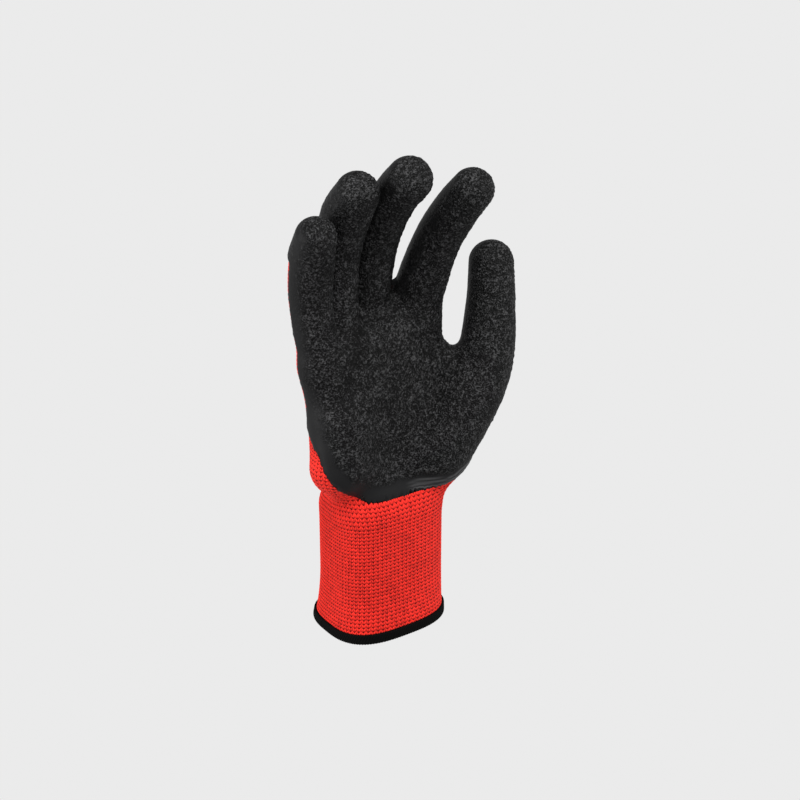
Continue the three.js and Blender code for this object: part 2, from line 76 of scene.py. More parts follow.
# Overlocked edge
HEM_HEIGHT = 5.0
HEM_WALL = 1.0
HEM_FLOOR = 1.4
HEM_ROUND = 1.6
HEM_SQUARENESS = 2 / 3
HEM_STEPS = 7
HEM_BEND_POINTS = 13
HEM_SIDE_POINTS = 7
HEM_SHARPNESS = 0.8
HEM_LIP = dict(out=(0.25, 0.6, 0.85), over=(0.1, 0.08, 0.05), raised=(0.3, 0.6, 0.9))

# Hand, in a frame of its own that starts where the wrist bends
WRIST_X = 1.1
WRIST_Y = 0.5
WRIST_HEIGHT = 74
WRIST_EXTENSION = 17
PALM_LENGTH = 77
KNUCKLE_SPAN = 62
KNUCKLE_ARCH = 14
WRIST_SPREAD = 22
WRIST_RADIUS = 17
WRIST_SHIFT = 3.2
PALM_PADDING = 0.8
HEEL_RADIUS = 13.4
WEB_RISE = 17
WEB_RADIUS = 5.2
THUMB_WEB_RADIUS = 8
HAND_SCALE = np.array([KNUCKLE_SPAN, KNUCKLE_ARCH, PALM_LENGTH])
METACARPAL_FOOT = np.array([0.4, 0.0, 0.3])
HEEL_FOOT = np.array([-0.45, -0.8, 0.22])
HEEL_HEAD = np.array([-0.385, -1.0, 0.48])
THUMB_WEB_SHARE = 0.22

# Digits
FINGER_LENGTH = 96
FINGER_RADIUS = 9.5
THUMB_LENGTH = 101
THUMB_RADIUS = 10.6
THUMB_TWIST = 25

PALM_BLEND = 11
DIGIT_BLEND = 7
WEB_BLEND = 3

COATING_HEIGHT = 75
COATING_HEEL_RISE = 28
COATING_HEEL_ANGLES = (36, 66)
COATING_SIDE_RISE = 12

# Knuckle places are shares of the knuckles' span, arch and the palm's length. Bones are shares of the
# finger's length and radii of its radius. Angles are degrees.
FINGERS = [
    dict(knuckle=(-0.465, -0.98, 0.865), splay=-4.6, bends=(10.5, 18.5, 12.5),
         bones=(0.375, 0.219, 0.146), radii=(0.93, 1.03, 1.05, 0.91)),
    dict(knuckle=(-0.226, -0.63, 0.896), splay=1.2, bends=(11, 23.5, 18.5),
         bones=(0.469, 0.302, 0.167), radii=(1.03, 1.04, 1.13, 0.98)),
    dict(knuckle=(0.127, 0.03, 0.995), splay=1.3, bends=(26, 21.5, 15),
         bones=(0.51, 0.323, 0.167), radii=(1.07, 1.03, 1.03, 1.02)),
    dict(knuckle=(0.48, -0.5, 0.992), splay=9, bends=(32.5, 16.5, 8.5),
         bones=(0.469, 0.271, 0.156), radii=(1.27, 1.09, 1.03, 0.96)),
]
THUMB = dict(root=(0.44, -0.64, 0.145), shares=(0.46, 0.347, 0.193), out=(38, 16.4, 11),
             forward=(19.5, 6.5, 1), radii=(1.8, 1.28, 1.04, 0.94))

# The net
FINGER_COLUMNS = 12
FRONT_COLUMNS = 18
COLUMNS = 36
CUFF_ROWS = 8
PALM_ROWS = 14
COATING_ROW = 3
COATING_FIXED_COLUMNS = 13
THUMB_ROW = 5
THUMB_ROWS = 4
FINGER_RINGS = 10
THUMB_RINGS = 9
RING_CROWDING = 0.45
SIDE_ANGLE = 110
CUFF_SIDE_ANGLE = 98
TIP_LATITUDE = 42
COATED_TIP_RINGS = 4
THUMB_BASE = 0.8
THUMB_BASE_TILT = 0.3
SPREAD_ROUNDS = 60
RELAX_ROUNDS = 24
RELAX_SHARE = 0.5
FIELD_STEP = 0.05
SETTLE_ROUNDS = 6
LEAST_SLOPE = 0.3
SLAB_ROUNDS = 4
BONE_STEPS = 5
CURVE_STEP = 1e-4
CAP_PEAK = 0.8
CAP_SPREAD = 0.42
SMOOTH_SPLITS = 4
SMOOTH_ROUNDS = 5
ROUNDNESS = 0.75

# Latex skin: its thickness at the border and just inside it, how far the border's own places reach
# in, the heights between which the rim widens, and where the folds lie by the thumb
EDGE_THICKNESS = 0.12
LIP_THICKNESS = 0.5
SWAY_SIZE = 9
TOOTH_SIZE = 1.4
BORDER_REACH = 4
RIM_HEIGHTS = (150, 115)
LITTLE_SIDE = (18, 30)
CRINKLE_MIDDLE = 0.45
FOLD_PITCH = 1.9
FOLD_HEIGHT = 0.3
FOLD_START_X = (2, 12)
FOLD_TOP = (100, 92)
BACKING_DEPTH = 0.5
LATEX_STAIN = (0.008, 0.008, 0.008)

# A soft crease that runs down the palm from the ring finger's root, pressed in and darkened with painted
# shade
PALM_CREASE = np.array([[-6, 3, 160], [-11, -1, 150], [-19, -5, 139], [-24.5, -7, 130]], float)
CREASE_WIDTH = 5
CREASE_DEPTH = 0.5

# Knit. A stitch's legs are lower at their edges, and an eyelet between them fades out aside and along.
WALES_PER_COLUMN = 2.5
COURSE_PITCH = 2.0
HAND_COURSES = 48
STITCH_LEAN = 0.45
STITCH_MIDDLE = 0.6
LEG_EDGE = 0.4
EYELET_ASIDE = (0.8, 0.25)
EYELET_ALONG = (0.7, 0.1)
EYELET_DEPTH = 0.45

# How many small faces go along each side of a large one
KNIT_SPLITS = 14
CUFF_SPLITS = 16
COATING_SPLITS = 10
BACKING_SPLITS = 4
INNER_SPLITS = 2

NOISE_SLOPES = 256
NOISE_SHUFFLE = (73856093, 19349663, 83492791)
BLOCK = 4000

# Each light's place from the aimed point, in metres to the right, towards the camera and up
LIGHTS = {
    "key": dict(right=0.15, towards=0.3, up=0.7, size=0.6),
    "left": dict(right=-0.8, towards=0.25, up=0.1, size=0.5),
    "right": dict(right=0.8, towards=0.0, up=0.1, size=0.5),
}
FLOOR_CORNERS = 12000 * np.array([[-1, -1, 0], [1, -1, 0], [1, 1, 0], [-1, 1, 0]], float)


def unit(vectors):
    return vectors / np.linalg.norm(vectors, axis=-1, keepdims=True)


def ramp(values, low, high):
    return np.clip((values - low) / (high - low), 0, 1)


def smooth_step(values, low, high):
    t = ramp(values, low, high)
    return t * t * (3 - 2 * t)


def turn_with_hand(vectors):
    """Turns directions from the hand's frame to the glove's: about X by the wrist's extension."""
    lean = np.radians(WRIST_EXTENSION)
    x, y, z = np.moveaxis(np.asarray(vectors, float), -1, 0)
    return np.stack([x, np.cos(lean) * y + np.sin(lean) * z, np.cos(lean) * z - np.sin(lean) * y], -1)


def from_hand(points):
    """Moves points from the hand's frame to the glove's: turned, then up by the wrist's height."""
    return turn_with_hand(points) + [WRIST_X, WRIST_Y, WRIST_HEIGHT]


def bone_direction(out, forward):
    """A unit direction: out is its angle in the palm's plane and forward its angle to the palm."""
    out, forward = np.radians(out), np.radians(forward)
    level = np.cos(forward)
    return np.array([np.sin(out) * level, -np.sin(forward), np.cos(out) * level])


class Digit:
    """A smooth curve through joints, with a radius at each joint."""

    def __init__(self, joints, radii, side, pad=None):
        self.joints = from_hand(np.array(joints))
        self.radii = np.array(radii)
        self.bones = len(radii) - 1
        self.side = turn_with_hand(side)
        self.pad = None if pad is None else turn_with_hand(pad)

    def point(self, t):
        """Catmull-Rom with square-root spacing: each span is a cubic whose end slopes come from the
        joints on both sides, and a mirrored joint stands past each end."""
        ends = np.vstack([2 * self.joints[0] - self.joints[1], self.joints,
                          2 * self.joints[-1] - self.joints[-2]])
        place = np.clip(np.asarray(t, float), 0, 1) * self.bones
        span = np.minimum(place.astype(int), self.bones - 1)
        w = (place - span)[..., None]
        p0, p1, p2, p3 = (ends[span + i] for i in range(4))
        d0, d1, d2 = (np.sqrt(np.linalg.norm(b - a, axis=-1, keepdims=True))
                      for a, b in ((p0, p1), (p1, p2), (p2, p3)))
        m1 = ((p1 - p0) / d0 - (p2 - p0) / (d0 + d1) + (p2 - p1) / d1) * d1
        m2 = ((p2 - p1) / d1 - (p3 - p1) / (d1 + d2) + (p3 - p2) / d2) * d1
        return (p1 + w * m1 + w ** 2 * (-3 * p1 + 3 * p2 - 2 * m1 - m2)
                + w ** 3 * (2 * p1 - 2 * p2 + m1 + m2))

    def tangent(self, t):
        """The curve's direction, from two points a ten-thousandth to either side."""
        return unit(self.point(np.minimum(t + CURVE_STEP, 1)) - self.point(np.maximum(t - CURVE_STEP, 0)))

    def radius(self, t):
        """The radius, in straight steps from joint to joint."""
        return np.interp(np.asarray(t, float) * self.bones, np.arange(self.bones + 1), self.radii)

    def samples(self):
        t = np.linspace(0, 1, self.bones * BONE_STEPS + 1)
        return self.point(t), self.radius(t)

    def round(self, t, angles, scale=1.0, ahead=0.0):
        """Points on circles round the curve: out by scale radii at angles from the palm side, and
        ahead radii along it."""
        t = np.clip(np.broadcast_to(np.asarray(t, float), np.shape(angles)), 0, 1)
        along = self.tangent(t)
        if self.pad is None:
            towards = np.cross(self.side, along)
        else:
            towards = self.pad - (along @ self.pad)[..., None] * along
        towards = unit(towards)
        outward = np.cross(along, towards)
        angles = np.radians(angles)[..., None]
        reach = self.radius(t)[..., None]
        return self.point(t) + reach * (scale * (np.cos(angles) * towards + np.sin(angles) * outward)
                                        + ahead * along)


def make_finger(row):
    knuckle = row["knuckle"] * HAND_SCALE
    joints = [knuckle * METACARPAL_FOOT, knuckle]
    for share, bend in zip(row["bones"], np.cumsum(row["bends"])):
        joints.append(joints[-1] + share * FINGER_LENGTH * bone_direction(row["splay"], bend))
    radii = np.array([1.0, *row["radii"]]) * FINGER_RADIUS
    splay = np.radians(row["splay"])
    return Digit(joints, radii, [np.cos(splay), 0, -np.sin(splay)])


def make_thumb():
    joints = [THUMB["root"] * HAND_SCALE]
    for share, out, forward in zip(THUMB["shares"], THUMB["out"], THUMB["forward"]):
        joints.append(joints[-1] + share * THUMB_LENGTH * bone_direction(out, forward))
    twist = np.radians(THUMB_TWIST)
    return Digit(joints, np.array(THUMB["radii"]) * THUMB_RADIUS, [1, 0, 0],
                 [-np.sin(twist), -np.cos(twist), 0])


fingers = [make_finger(row) for row in FINGERS]
thumb = make_thumb()


def chain_distance(points, samples, radii):
    """The least distance to the pieces between neighbouring spheres, with a radius that runs straight
    from one sphere to the next."""
    start = samples[:-1]
    along = samples[1:] - start
    gap = points[:, None] - start
    t = np.clip((gap * along).sum(-1) / (along ** 2).sum(-1), 0, 1)
    distance = np.linalg.norm(gap - t[..., None] * along, axis=-1)
    return (distance - (radii[:-1] + t * np.diff(radii))).min(1)


def rod_distance(points, start, end, radius):
    return chain_distance(points, np.array([start, end]), np.array([radius, radius]))


def blend(a, b, softness):
    """The smaller of two distances with a round transition: less a quarter of the softness where they
    are equal."""
    h = np.maximum(softness - np.abs(a - b), 0) / softness
    return np.minimum(a, b) - h * h * softness / 4


def knuckle_of(finger):
    return finger.point(1 / finger.bones)


wrist_little = from_hand([WRIST_SHIFT - WRIST_SPREAD / 2, 0, 0])
wrist_index = from_hand([WRIST_SHIFT + WRIST_SPREAD / 2, 0, 0])
knuckle_little = knuckle_of(fingers[0])
knuckle_index = knuckle_of(fingers[3])


def slab_distance(points):
    """Distance to a four-cornered patch, less a thickness that goes from the wrist's to the knuckles'.
    The nearest place on the patch is found by stepping across and up it in turn."""
    a, b, c, d = wrist_little, wrist_index, knuckle_little, knuckle_index
    s = np.full((len(points), 1), 0.5)
    t = s.copy()
    for _ in range(SLAB_ROUNDS):
        at = a * (1 - s) * (1 - t) + b * s * (1 - t) + c * (1 - s) * t + d * s * t
        across = (b - a) * (1 - t) + (d - c) * t
        up = (c - a) * (1 - s) + (d - b) * s
        gap = points - at
        s = np.clip(s + (gap * across).sum(1, keepdims=True) / (across ** 2).sum(1, keepdims=True), 0, 1)
        t = np.clip(t + (gap * up).sum(1, keepdims=True) / (up ** 2).sum(1, keepdims=True), 0, 1)
    at = a * (1 - s) * (1 - t) + b * s * (1 - t) + c * (1 - s) * t + d * s * t
    knuckles = fingers[0].radii[1] + (fingers[3].radii[1] - fingers[0].radii[1]) * s + PALM_PADDING
    return np.linalg.norm(points - at, axis=1) - (WRIST_RADIUS + (knuckles - WRIST_RADIUS) * t)[:, 0]


def cuff_distance(points):
    """Distance to a squarish oval tube, ended softly at the wrist. It flares with the square of the
    depth below the flare's height, where its axis comes back to the origin."""
    x, y, z = points.T
    below = np.maximum(0, 1 - z / CUFF_FLARE_HEIGHT) ** 2
    x = x - CUFF_AXIS_X * (1 - below)
    y = y - CUFF_AXIS_Y * (1 - below)
    norm = (np.abs(x / (CUFF_HALF_WIDTH + CUFF_FLARE_WIDTH * below)) ** CUFF_SQUARENESS
            + np.abs(y / (CUFF_HALF_DEPTH + CUFF_FLARE_DEPTH * below)) ** CUFF_SQUARENESS)
    wall = np.hypot(x, y) * (1 - 1 / np.maximum(norm ** (1 / CUFF_SQUARENESS), 1e-6))
    return -blend(-wall, WRIST_HEIGHT - z, PALM_BLEND)


def along_finger(finger, distance):
    bone = np.linalg.norm(finger.point(2 / finger.bones) - knuckle_of(finger))
    return finger.point((1 + distance / bone) / finger.bones)


heel = from_hand(np.array([HEEL_FOOT, HEEL_HEAD]) * HAND_SCALE)
webs = [[along_finger(finger, WEB_RISE - WEB_RADIUS) for finger in pair]
        for pair in zip(fingers[:-1], fingers[1:])]
thumb_web = [thumb.point(1 / thumb.bones),
             knuckle_index + THUMB_WEB_SHARE * (wrist_index - knuckle_index)]
chains = [digit.samples() for digit in [thumb, *fingers]]


def field(points):
    """Signed distance to the glove's form: palm, cuff, heel and thumb web softly joined, then the
    digits and the webs between them, blended on."""
    body = blend(slab_distance(points), cuff_distance(points), PALM_BLEND)
    body = blend(body, rod_distance(points, *heel, HEEL_RADIUS), PALM_BLEND)
    digits = chain_distance(points, *chains[0])
    for chain in chains[1:]:
        digits = blend(digits, chain_distance(points, *chain), WEB_BLEND)
    for web in webs:
        digits = blend(digits, rod_distance(points, *web, WEB_RADIUS), WEB_BLEND)
    body = blend(body, rod_distance(points, *thumb_web, THUMB_WEB_RADIUS), PALM_BLEND)
    return blend(body, digits, DIGIT_BLEND)


def slope(points):
    """The field's gradient, from a small step to either side along each axis."""
    steps = np.eye(3) * FIELD_STEP
    return np.stack([field(points + s) - field(points - s) for s in steps], 1) / (2 * FIELD_STEP)


def settle(points, rounds=SETTLE_ROUNDS):
    """Draws points onto the surface by steps of distance over slope."""
    points = np.array(points)
    for _ in range(rounds):
        g = slope(points)
        points = points - g * (field(points) / np.maximum((g ** 2).sum(1), LEAST_SLOPE))[:, None]
    return points


def settle_outward(points):
    """Draws points onto the surface straight out from the forearm's axis."""
    points = np.array(points)
    out = unit(points * [1, 1, 0])
    for _ in range(SETTLE_ROUNDS):
        here = field(points)
        rate = (field(points + out * FIELD_STEP) - here) / FIELD_STEP
        points = points - out * (here / np.maximum(rate, LEAST_SLOPE))[:, None]
    return points


def split_angles(places, count, side):
    """Angles from the palm side: half of the columns share the front, up to the side angle either way,
    and half share the back."""
    half = count / 2
    front = -side + 2 * side * places / half
    back = side + (360 - 2 * side) * (places - half) / half
    return np.where(places <= half, front, back)


def oval(places, heights):
    """Points of the cuff's surface at column places and heights."""
    angle = np.radians(split_angles(places, COLUMNS, CUFF_SIDE_ANGLE))
    start = np.stack([np.sin(angle) * CUFF_HALF_WIDTH, -np.cos(angle) * CUFF_HALF_DEPTH,
                      np.broadcast_to(heights, np.shape(places)).astype(float)], 1)
    return settle_outward(start)


class Net:
    """Corners, and four-sided faces with the knit's wale and course at each of their corners."""

    def __init__(self):
        self.corners = np.zeros((0, 3))
        self.held = np.zeros(0, bool)
        self.loops, self.stitches, self.zones = [], [], []

    def add_corners(self, points, held):
        first = len(self.corners)
        self.corners = np.vstack([self.corners, points])
        self.held = np.append(self.held, np.broadcast_to(held, len(points)))
        return np.arange(first, len(self.corners))

    def add_band(self, lower, upper, wales, lower_courses, upper_courses, coated, zone, keep=None):
        """A closed ring of faces between two rows of corners."""
        count = len(lower)
        loops = np.stack([lower, np.roll(lower, -1), np.roll(upper, -1), upper], 1)
        starts, ends = wales * np.arange(count), wales * np.arange(1, count + 1)
        courses = [lower_courses, np.roll(lower_courses, -1), np.roll(upper_courses, -1), upper_courses]
        stitches = np.stack([np.stack([w, c], 1) for w, c in zip([starts, ends, ends, starts], courses)], 1)
        tags = np.where(coated, 2, 1) if zone == "hand" else np.zeros(count, int)
        keep = np.full(count, True) if keep is None else keep
        self.loops.append(loops[keep])
        self.stitches.append(stitches[keep])
        self.zones.append(np.broadcast_to(tags, count)[keep])

    def close(self):
        self.loops = np.vstack(self.loops)
        self.stitches = np.vstack(self.stitches)
        self.zones = np.concatenate(self.zones)


def neighbour_mean(points, edges):
    """The mean of each point's neighbours along the edges."""
    both = np.vstack([edges, edges[:, ::-1]])
    count = np.maximum(np.bincount(both[:, 0], minlength=len(points)), 1)
    total = np.stack([np.bincount(both[:, 0], points[both[:, 1], i], len(points)) for i in range(3)], 1)
    return total / count[:, None]


def edges_of(loops):
    pairs = np.vstack([loops[:, [0, 1]], loops[:, [1, 2]], loops[:, [2, 3]], loops[:, [3, 0]]])
    return np.unique(np.sort(pairs, 1), axis=0)


def add_digit(net, digit, base, starts, angles, coated):
    """Rings of faces from a base ring to the tip, closer together at both ends, and three by three
    faces over the tip. coated tells of each face of each ring whether the latex covers it."""
    ring_count = len(coated)
    courses = np.zeros(FINGER_COLUMNS)
    below, below_points = base, net.corners[base]
    if digit is not thumb:
        courses = courses + CUFF_LENGTH / COURSE_PITCH + HAND_COURSES
    for m in range(1, ring_count + 1):
        step = min(m, ring_count - 1) / (ring_count - 1)
        eased = step - RING_CROWDING * np.sin(2 * np.pi * step) / (2 * np.pi)
        tip = np.radians(TIP_LATITUDE if m == ring_count else 0)
        t = starts + (1 - starts) * eased
        points = settle(digit.round(t, angles, np.cos(tip), np.sin(tip)))
        ring = net.add_corners(points, True)
        rise = np.linalg.norm(points - below_points, axis=1).mean() / COURSE_PITCH
        net.add_band(below, ring, WALES_PER_COLUMN, courses, courses + rise, coated[m - 1], "hand")
        below, below_points, courses = ring, points, courses + rise
    centre = below_points.mean(0)
    peak = (digit.round(1.0, np.zeros(1), 0, 1)[0] - centre) * CAP_PEAK
    inner = settle(centre + CAP_SPREAD * (below_points[[0, 3, 6, 9]] - centre) + peak)
    i = net.add_corners(inner, True)
    r = below
    grid = np.array([[r[0], r[1], r[2], r[3]], [r[11], i[0], i[1], r[4]],
                     [r[10], i[3], i[2], r[5]], [r[9], r[8], r[7], r[6]]])
    loops = np.stack([grid[:-1, :-1], grid[:-1, 1:], grid[1:, 1:], grid[1:, :-1]], -1).reshape(-1, 4)
    square = WALES_PER_COLUMN * np.array([[0, 0], [1, 0], [1, 1], [0, 1]], float)
    net.loops.append(loops)
    net.stitches.append(np.broadcast_to(square, (9, 4, 2)))
    net.zones.append(np.full(9, 2))


def build_net():
    """Lays the net over cuff, hand and digits and evens it out: first the thumb's ring pulls the palm's
    corners into place, then each free corner moves halfway to the middle of its neighbours and settles
    on the surface again."""
    net = Net()
    columns = np.arange(COLUMNS)
    ring = np.arange(FINGER_COLUMNS)
    half = FINGER_COLUMNS // 2
    angles = split_angles(ring, FINGER_COLUMNS, SIDE_ANGLE)

    # The fingers' base rings share corners with the palm's top row and with each other
    starts, ring_ids, ring_points = [], [], []
    for i, finger in enumerate(fingers):
        bone = np.linalg.norm(finger.point(2 / finger.bones) - knuckle_of(finger))
        starts.append((1 + (WEB_RISE + 1) / bone) / finger.bones)
        ids = np.where(ring < half, 4 * i + ring, COLUMNS - FINGER_COLUMNS - 4 * i + ring)
        ids[0] = 0 if i == 0 else COLUMNS + i - 1
        ids[half] = FRONT_COLUMNS if i == len(fingers) - 1 else COLUMNS + i
        ring_ids.append(ids)
        ring_points.append(finger.round(starts[-1], angles))
    ids = np.concatenate(ring_ids)
    points = np.vstack(ring_points)
    shared = np.bincount(ids)
    top = np.stack([np.bincount(ids, points[:, i]) for i in range(3)], 1) / shared[:, None]
    tops = net.add_corners(settle(top), True)
    top_row = tops[:COLUMNS]

    # Cuff rows
    foot = HEM_FLOOR + LAYER_GAP
    heights = [foot, *np.linspace(HEM_HEIGHT + LAYER_GAP, CUFF_LENGTH, CUFF_ROWS)]
    cuff_rows = [net.add_corners(oval(columns, z), True) for z in heights]
    for lower, upper, z0, z1 in zip(cuff_rows, cuff_rows[1:], heights, heights[1:]):
        low, high = (np.full(COLUMNS, z / COURSE_PITCH) for z in (z0, z1))
        net.add_band(lower, upper, WALES_PER_COLUMN, low, high, False, "cuff")

    # Hand rows, one of which is the coating's lower edge
    feet = oval(columns, CUFF_LENGTH + SEAM_GAP)
    heads = net.corners[top_row]
    rows = [net.add_corners(feet, True)]
    angle = split_angles(columns, COLUMNS, CUFF_SIDE_ANGLE)
    angle = np.where(angle > 180, angle - 360, angle)
    over_heel = smooth_step(-angle, *COATING_HEEL_ANGLES)
    side = np.minimum(1, np.abs(angle) / CUFF_SIDE_ANGLE)
    edge_height = COATING_HEIGHT + COATING_HEEL_RISE * over_heel + COATING_SIDE_RISE * side ** 4
    edge = np.clip((edge_height - feet[:, 2]) / (heads[:, 2] - feet[:, 2]), 0, 1)
    for r in range(1, PALM_ROWS):
        above = (r - COATING_ROW) / (PALM_ROWS - COATING_ROW)
        share = edge * r / COATING_ROW if r <= COATING_ROW else edge + (1 - edge) * above
        start = feet + share[:, None] * (heads - feet)
        held = (r == COATING_ROW) & (columns <= COATING_FIXED_COLUMNS)
        placed = np.where(held[:, None], settle_outward(start), settle(start))
        rows.append(net.add_corners(placed, held))
    rows.append(top_row)
    rows = np.array(rows)

    # The thumb's base ring runs round a hole in the side of the palm, and leans
    low, high, middle = THUMB_ROW, THUMB_ROW + THUMB_ROWS, FRONT_COLUMNS
    up, down = np.arange(low, high + 1), np.arange(high, low - 1, -1)
    base = np.concatenate([[rows[low, middle]], rows[up, middle + 1], [rows[high, middle]],
                           rows[down, middle - 1]])
    thumb_angles = np.roll(angles, -half)
    thumb_starts = (THUMB_BASE - THUMB_BASE_TILT * np.sin(np.radians(thumb_angles))) / thumb.bones
    net.corners[base] = settle(thumb.round(thumb_starts, thumb_angles))
    net.held[base[[0, half]]] = True

    first_band = len(net.loops)
    level = np.zeros(COLUMNS)
    for r in range(PALM_ROWS):
        in_hole = (low <= r < high) & ((columns == middle) | (columns == middle - 1))
        coated = (columns <= FRONT_COLUMNS) & (r >= COATING_ROW)
        net.add_band(rows[r], rows[r + 1], WALES_PER_COLUMN, level, level, coated, "hand", ~in_hole)
    for i, finger in enumerate(fingers):
        coated = np.tile((ring <= half) | ((ring >= FINGER_COLUMNS - 2) & (i > 0)), (FINGER_RINGS, 1))
        coated[-COATED_TIP_RINGS - (i == 0):] = True
        add_digit(net, finger, tops[ring_ids[i]], starts[i], angles, coated)
    coated = np.tile((ring >= half - 1) | (ring == 0), (THUMB_RINGS, 1))
    coated[-COATED_TIP_RINGS:] = True
    add_digit(net, thumb, base, thumb_starts, thumb_angles, coated)

    edges = edges_of(np.vstack(net.loops))
    fixed = net.held.copy()
    fixed[base] = True
    for _ in range(SPREAD_ROUNDS):
        mean = neighbour_mean(net.corners, edges)
        net.corners = np.where(fixed[:, None], net.corners, net.corners + RELAX_SHARE * (mean - net.corners))
    free = np.flatnonzero(~net.held & np.isin(np.arange(len(net.corners)), edges))
    for _ in range(RELAX_ROUNDS):
        mean = neighbour_mean(net.corners, edges)
        moved = net.corners + RELAX_SHARE * (mean - net.corners)
        net.corners[free] = settle(moved[free])

    # The hand's courses rise evenly with the length of each column
    lengths = np.linalg.norm(np.diff(net.corners[rows], axis=0), axis=2)
    lengths[:, middle] = (lengths[:, middle - 1] + lengths[:, middle + 1]) / 2
    rise = np.vstack([np.zeros(COLUMNS), np.cumsum(lengths, 0)])
    course_of = np.zeros(len(net.corners))
    course_of[rows] = CUFF_LENGTH / COURSE_PITCH + HAND_COURSES * rise / rise[-1]
    for band in range(first_band, first_band + PALM_ROWS):
        net.stitches[band][..., 1] = course_of[net.loops[band]]
    net.close()
    net.level = np.concatenate([*cuff_rows, rows[0]])
    return net


def split_faces(loops, n):
    """Splits every face into n by n. Gives each face's grid of point numbers, row by row from its first
    side, with points on a shared side or corner numbered once, and the number of points."""
    corner_ids, loops = np.unique(loops, return_inverse=True)
    loops = loops.reshape(-1, 4)
    faces = len(loops)
    sides = np.vstack([loops[:, [0, 1]], loops[:, [1, 2]], loops[:, [3, 2]], loops[:, [0, 3]]])
    _, side_ids = np.unique(np.sort(sides, 1), axis=0, return_inverse=True)
    steps = np.arange(n - 1)
    order = np.where((sides[:, 0] > sides[:, 1])[:, None], steps[::-1], steps)
    on_side = len(corner_ids) + side_ids.reshape(-1, 1) * (n - 1) + order
    bottom, right, top, left = on_side.reshape(4, faces, n - 1)
    first_inner = len(corner_ids) + (side_ids.max() + 1) * (n - 1)
    grid = np.zeros((faces, n + 1, n + 1), int)
    grid[:, 0, 0], grid[:, 0, n], grid[:, n, n], grid[:, n, 0] = loops.T
    grid[:, 0, 1:n], grid[:, 1:n, n], grid[:, n, 1:n], grid[:, 1:n, 0] = bottom, right, top, left
    grid[:, 1:n, 1:n] = first_inner + np.arange(faces * (n - 1) ** 2).reshape(faces, n - 1, n - 1)
    return grid, first_inner + faces * (n - 1) ** 2


def bilinear(values, n):
    """Values at the points of an n by n grid over faces, from those at their four corners."""
    v, u = np.meshgrid(np.linspace(0, 1, n + 1), np.linspace(0, 1, n + 1), indexing="ij")
    shares = np.stack([(1 - u) * (1 - v), u * (1 - v), u * v, (1 - u) * v], -1)
    return np.einsum("vuc,fcd->fvud", shares, values)


def quads_of(grid):
    """The small faces of grids, wound as their large face is."""
    return np.stack([grid[:, :-1, :-1], grid[:, :-1, 1:], grid[:, 1:, 1:], grid[:, 1:, :-1]], -1)


class Surface:
    """The net split four by four, evened out once more and settled, with the form's normals."""

    def __init__(self, net):
        self.net = net
        n = SMOOTH_SPLITS
        self.grid, count = split_faces(net.loops, n)
        points = np.zeros((count, 3))
        points[self.grid] = bilinear(net.corners[net.loops], n)
        edges = edges_of(quads_of(self.grid).reshape(-1, 4))
        level = np.zeros(count, bool)
        is_level = np.isin(net.loops, net.level)
        level_side = is_level & np.roll(is_level, -1, 1)
        for side, part in enumerate([np.s_[:, 0, :], np.s_[:, :, n], np.s_[:, n, :], np.s_[:, :, 0]]):
            level[self.grid[part][level_side[:, side]]] = True
        in_cuff = np.zeros(count, bool)
        in_cuff[self.grid[net.zones == 0]] = True
        points[in_cuff | level] = settle_outward(points[in_cuff | level])
        free = ~(in_cuff | level)
        points[free] = settle(points[free], 2)
        for _ in range(SMOOTH_ROUNDS):
            mean = neighbour_mean(points, edges)
            points[free] = settle((points + RELAX_SHARE * (mean - points))[free], 1)
        normals = slope(points)
        normals[in_cuff | level, 2] = 0
        self.points = points
        self.normals = unit(normals)

    def patch(self, faces, n):
        """Points and normals on an n by n grid over some faces. Each point is carried most of the way
        from the flat between its four nearest known points to their tangent planes."""
        v, u = np.meshgrid(np.linspace(0, 1, n + 1), np.linspace(0, 1, n + 1), indexing="ij")
        place_u, place_v = u * SMOOTH_SPLITS, v * SMOOTH_SPLITS
        iu = np.minimum(place_u.astype(int), SMOOTH_SPLITS - 1)
        iv = np.minimum(place_v.astype(int), SMOOTH_SPLITS - 1)
        fu, fv = place_u - iu, place_v - iv
        shares = [(1 - fu) * (1 - fv), fu * (1 - fv), fu * fv, (1 - fu) * fv]
        grid = self.grid[faces]
        ids = [grid[:, iv, iu], grid[:, iv, iu + 1], grid[:, iv + 1, iu + 1], grid[:, iv + 1, iu]]
        flat = sum(s[None, ..., None] * self.points[i] for s, i in zip(shares, ids))
        normal = sum(s[None, ..., None] * self.normals[i] for s, i in zip(shares, ids))
        curved = sum(s[None, ..., None] * (flat - ((flat - self.points[i]) * self.normals[i])
                     .sum(-1, keepdims=True) * self.normals[i]) for s, i in zip(shares, ids))
        return (1 - ROUNDNESS) * flat + ROUNDNESS * curved, unit(normal)


def merged(grid, count, values):
    """One value per point from values at each face's grid: their mean where faces meet."""
    flat = grid.ravel()
    values = values.reshape(len(flat), -1)
    total = np.stack([np.bincount(flat, column, count) for column in values.T], 1)
    return total / np.bincount(flat, minlength=count)[:, None]


def sides_of(grid):
    """Each face's four sides as rows of point numbers, in the face's own direction."""
    return np.stack([grid[:, 0, :], grid[:, :, -1], grid[:, -1, ::-1], grid[:, ::-1, 0]], 1)


def border_sides(loops):
    """Which sides of each face no other face shares."""
    start, end = loops, np.roll(loops, -1, 1)
    size = loops.max() + 1
    return ~np.isin(start * size + end, end * size + start)


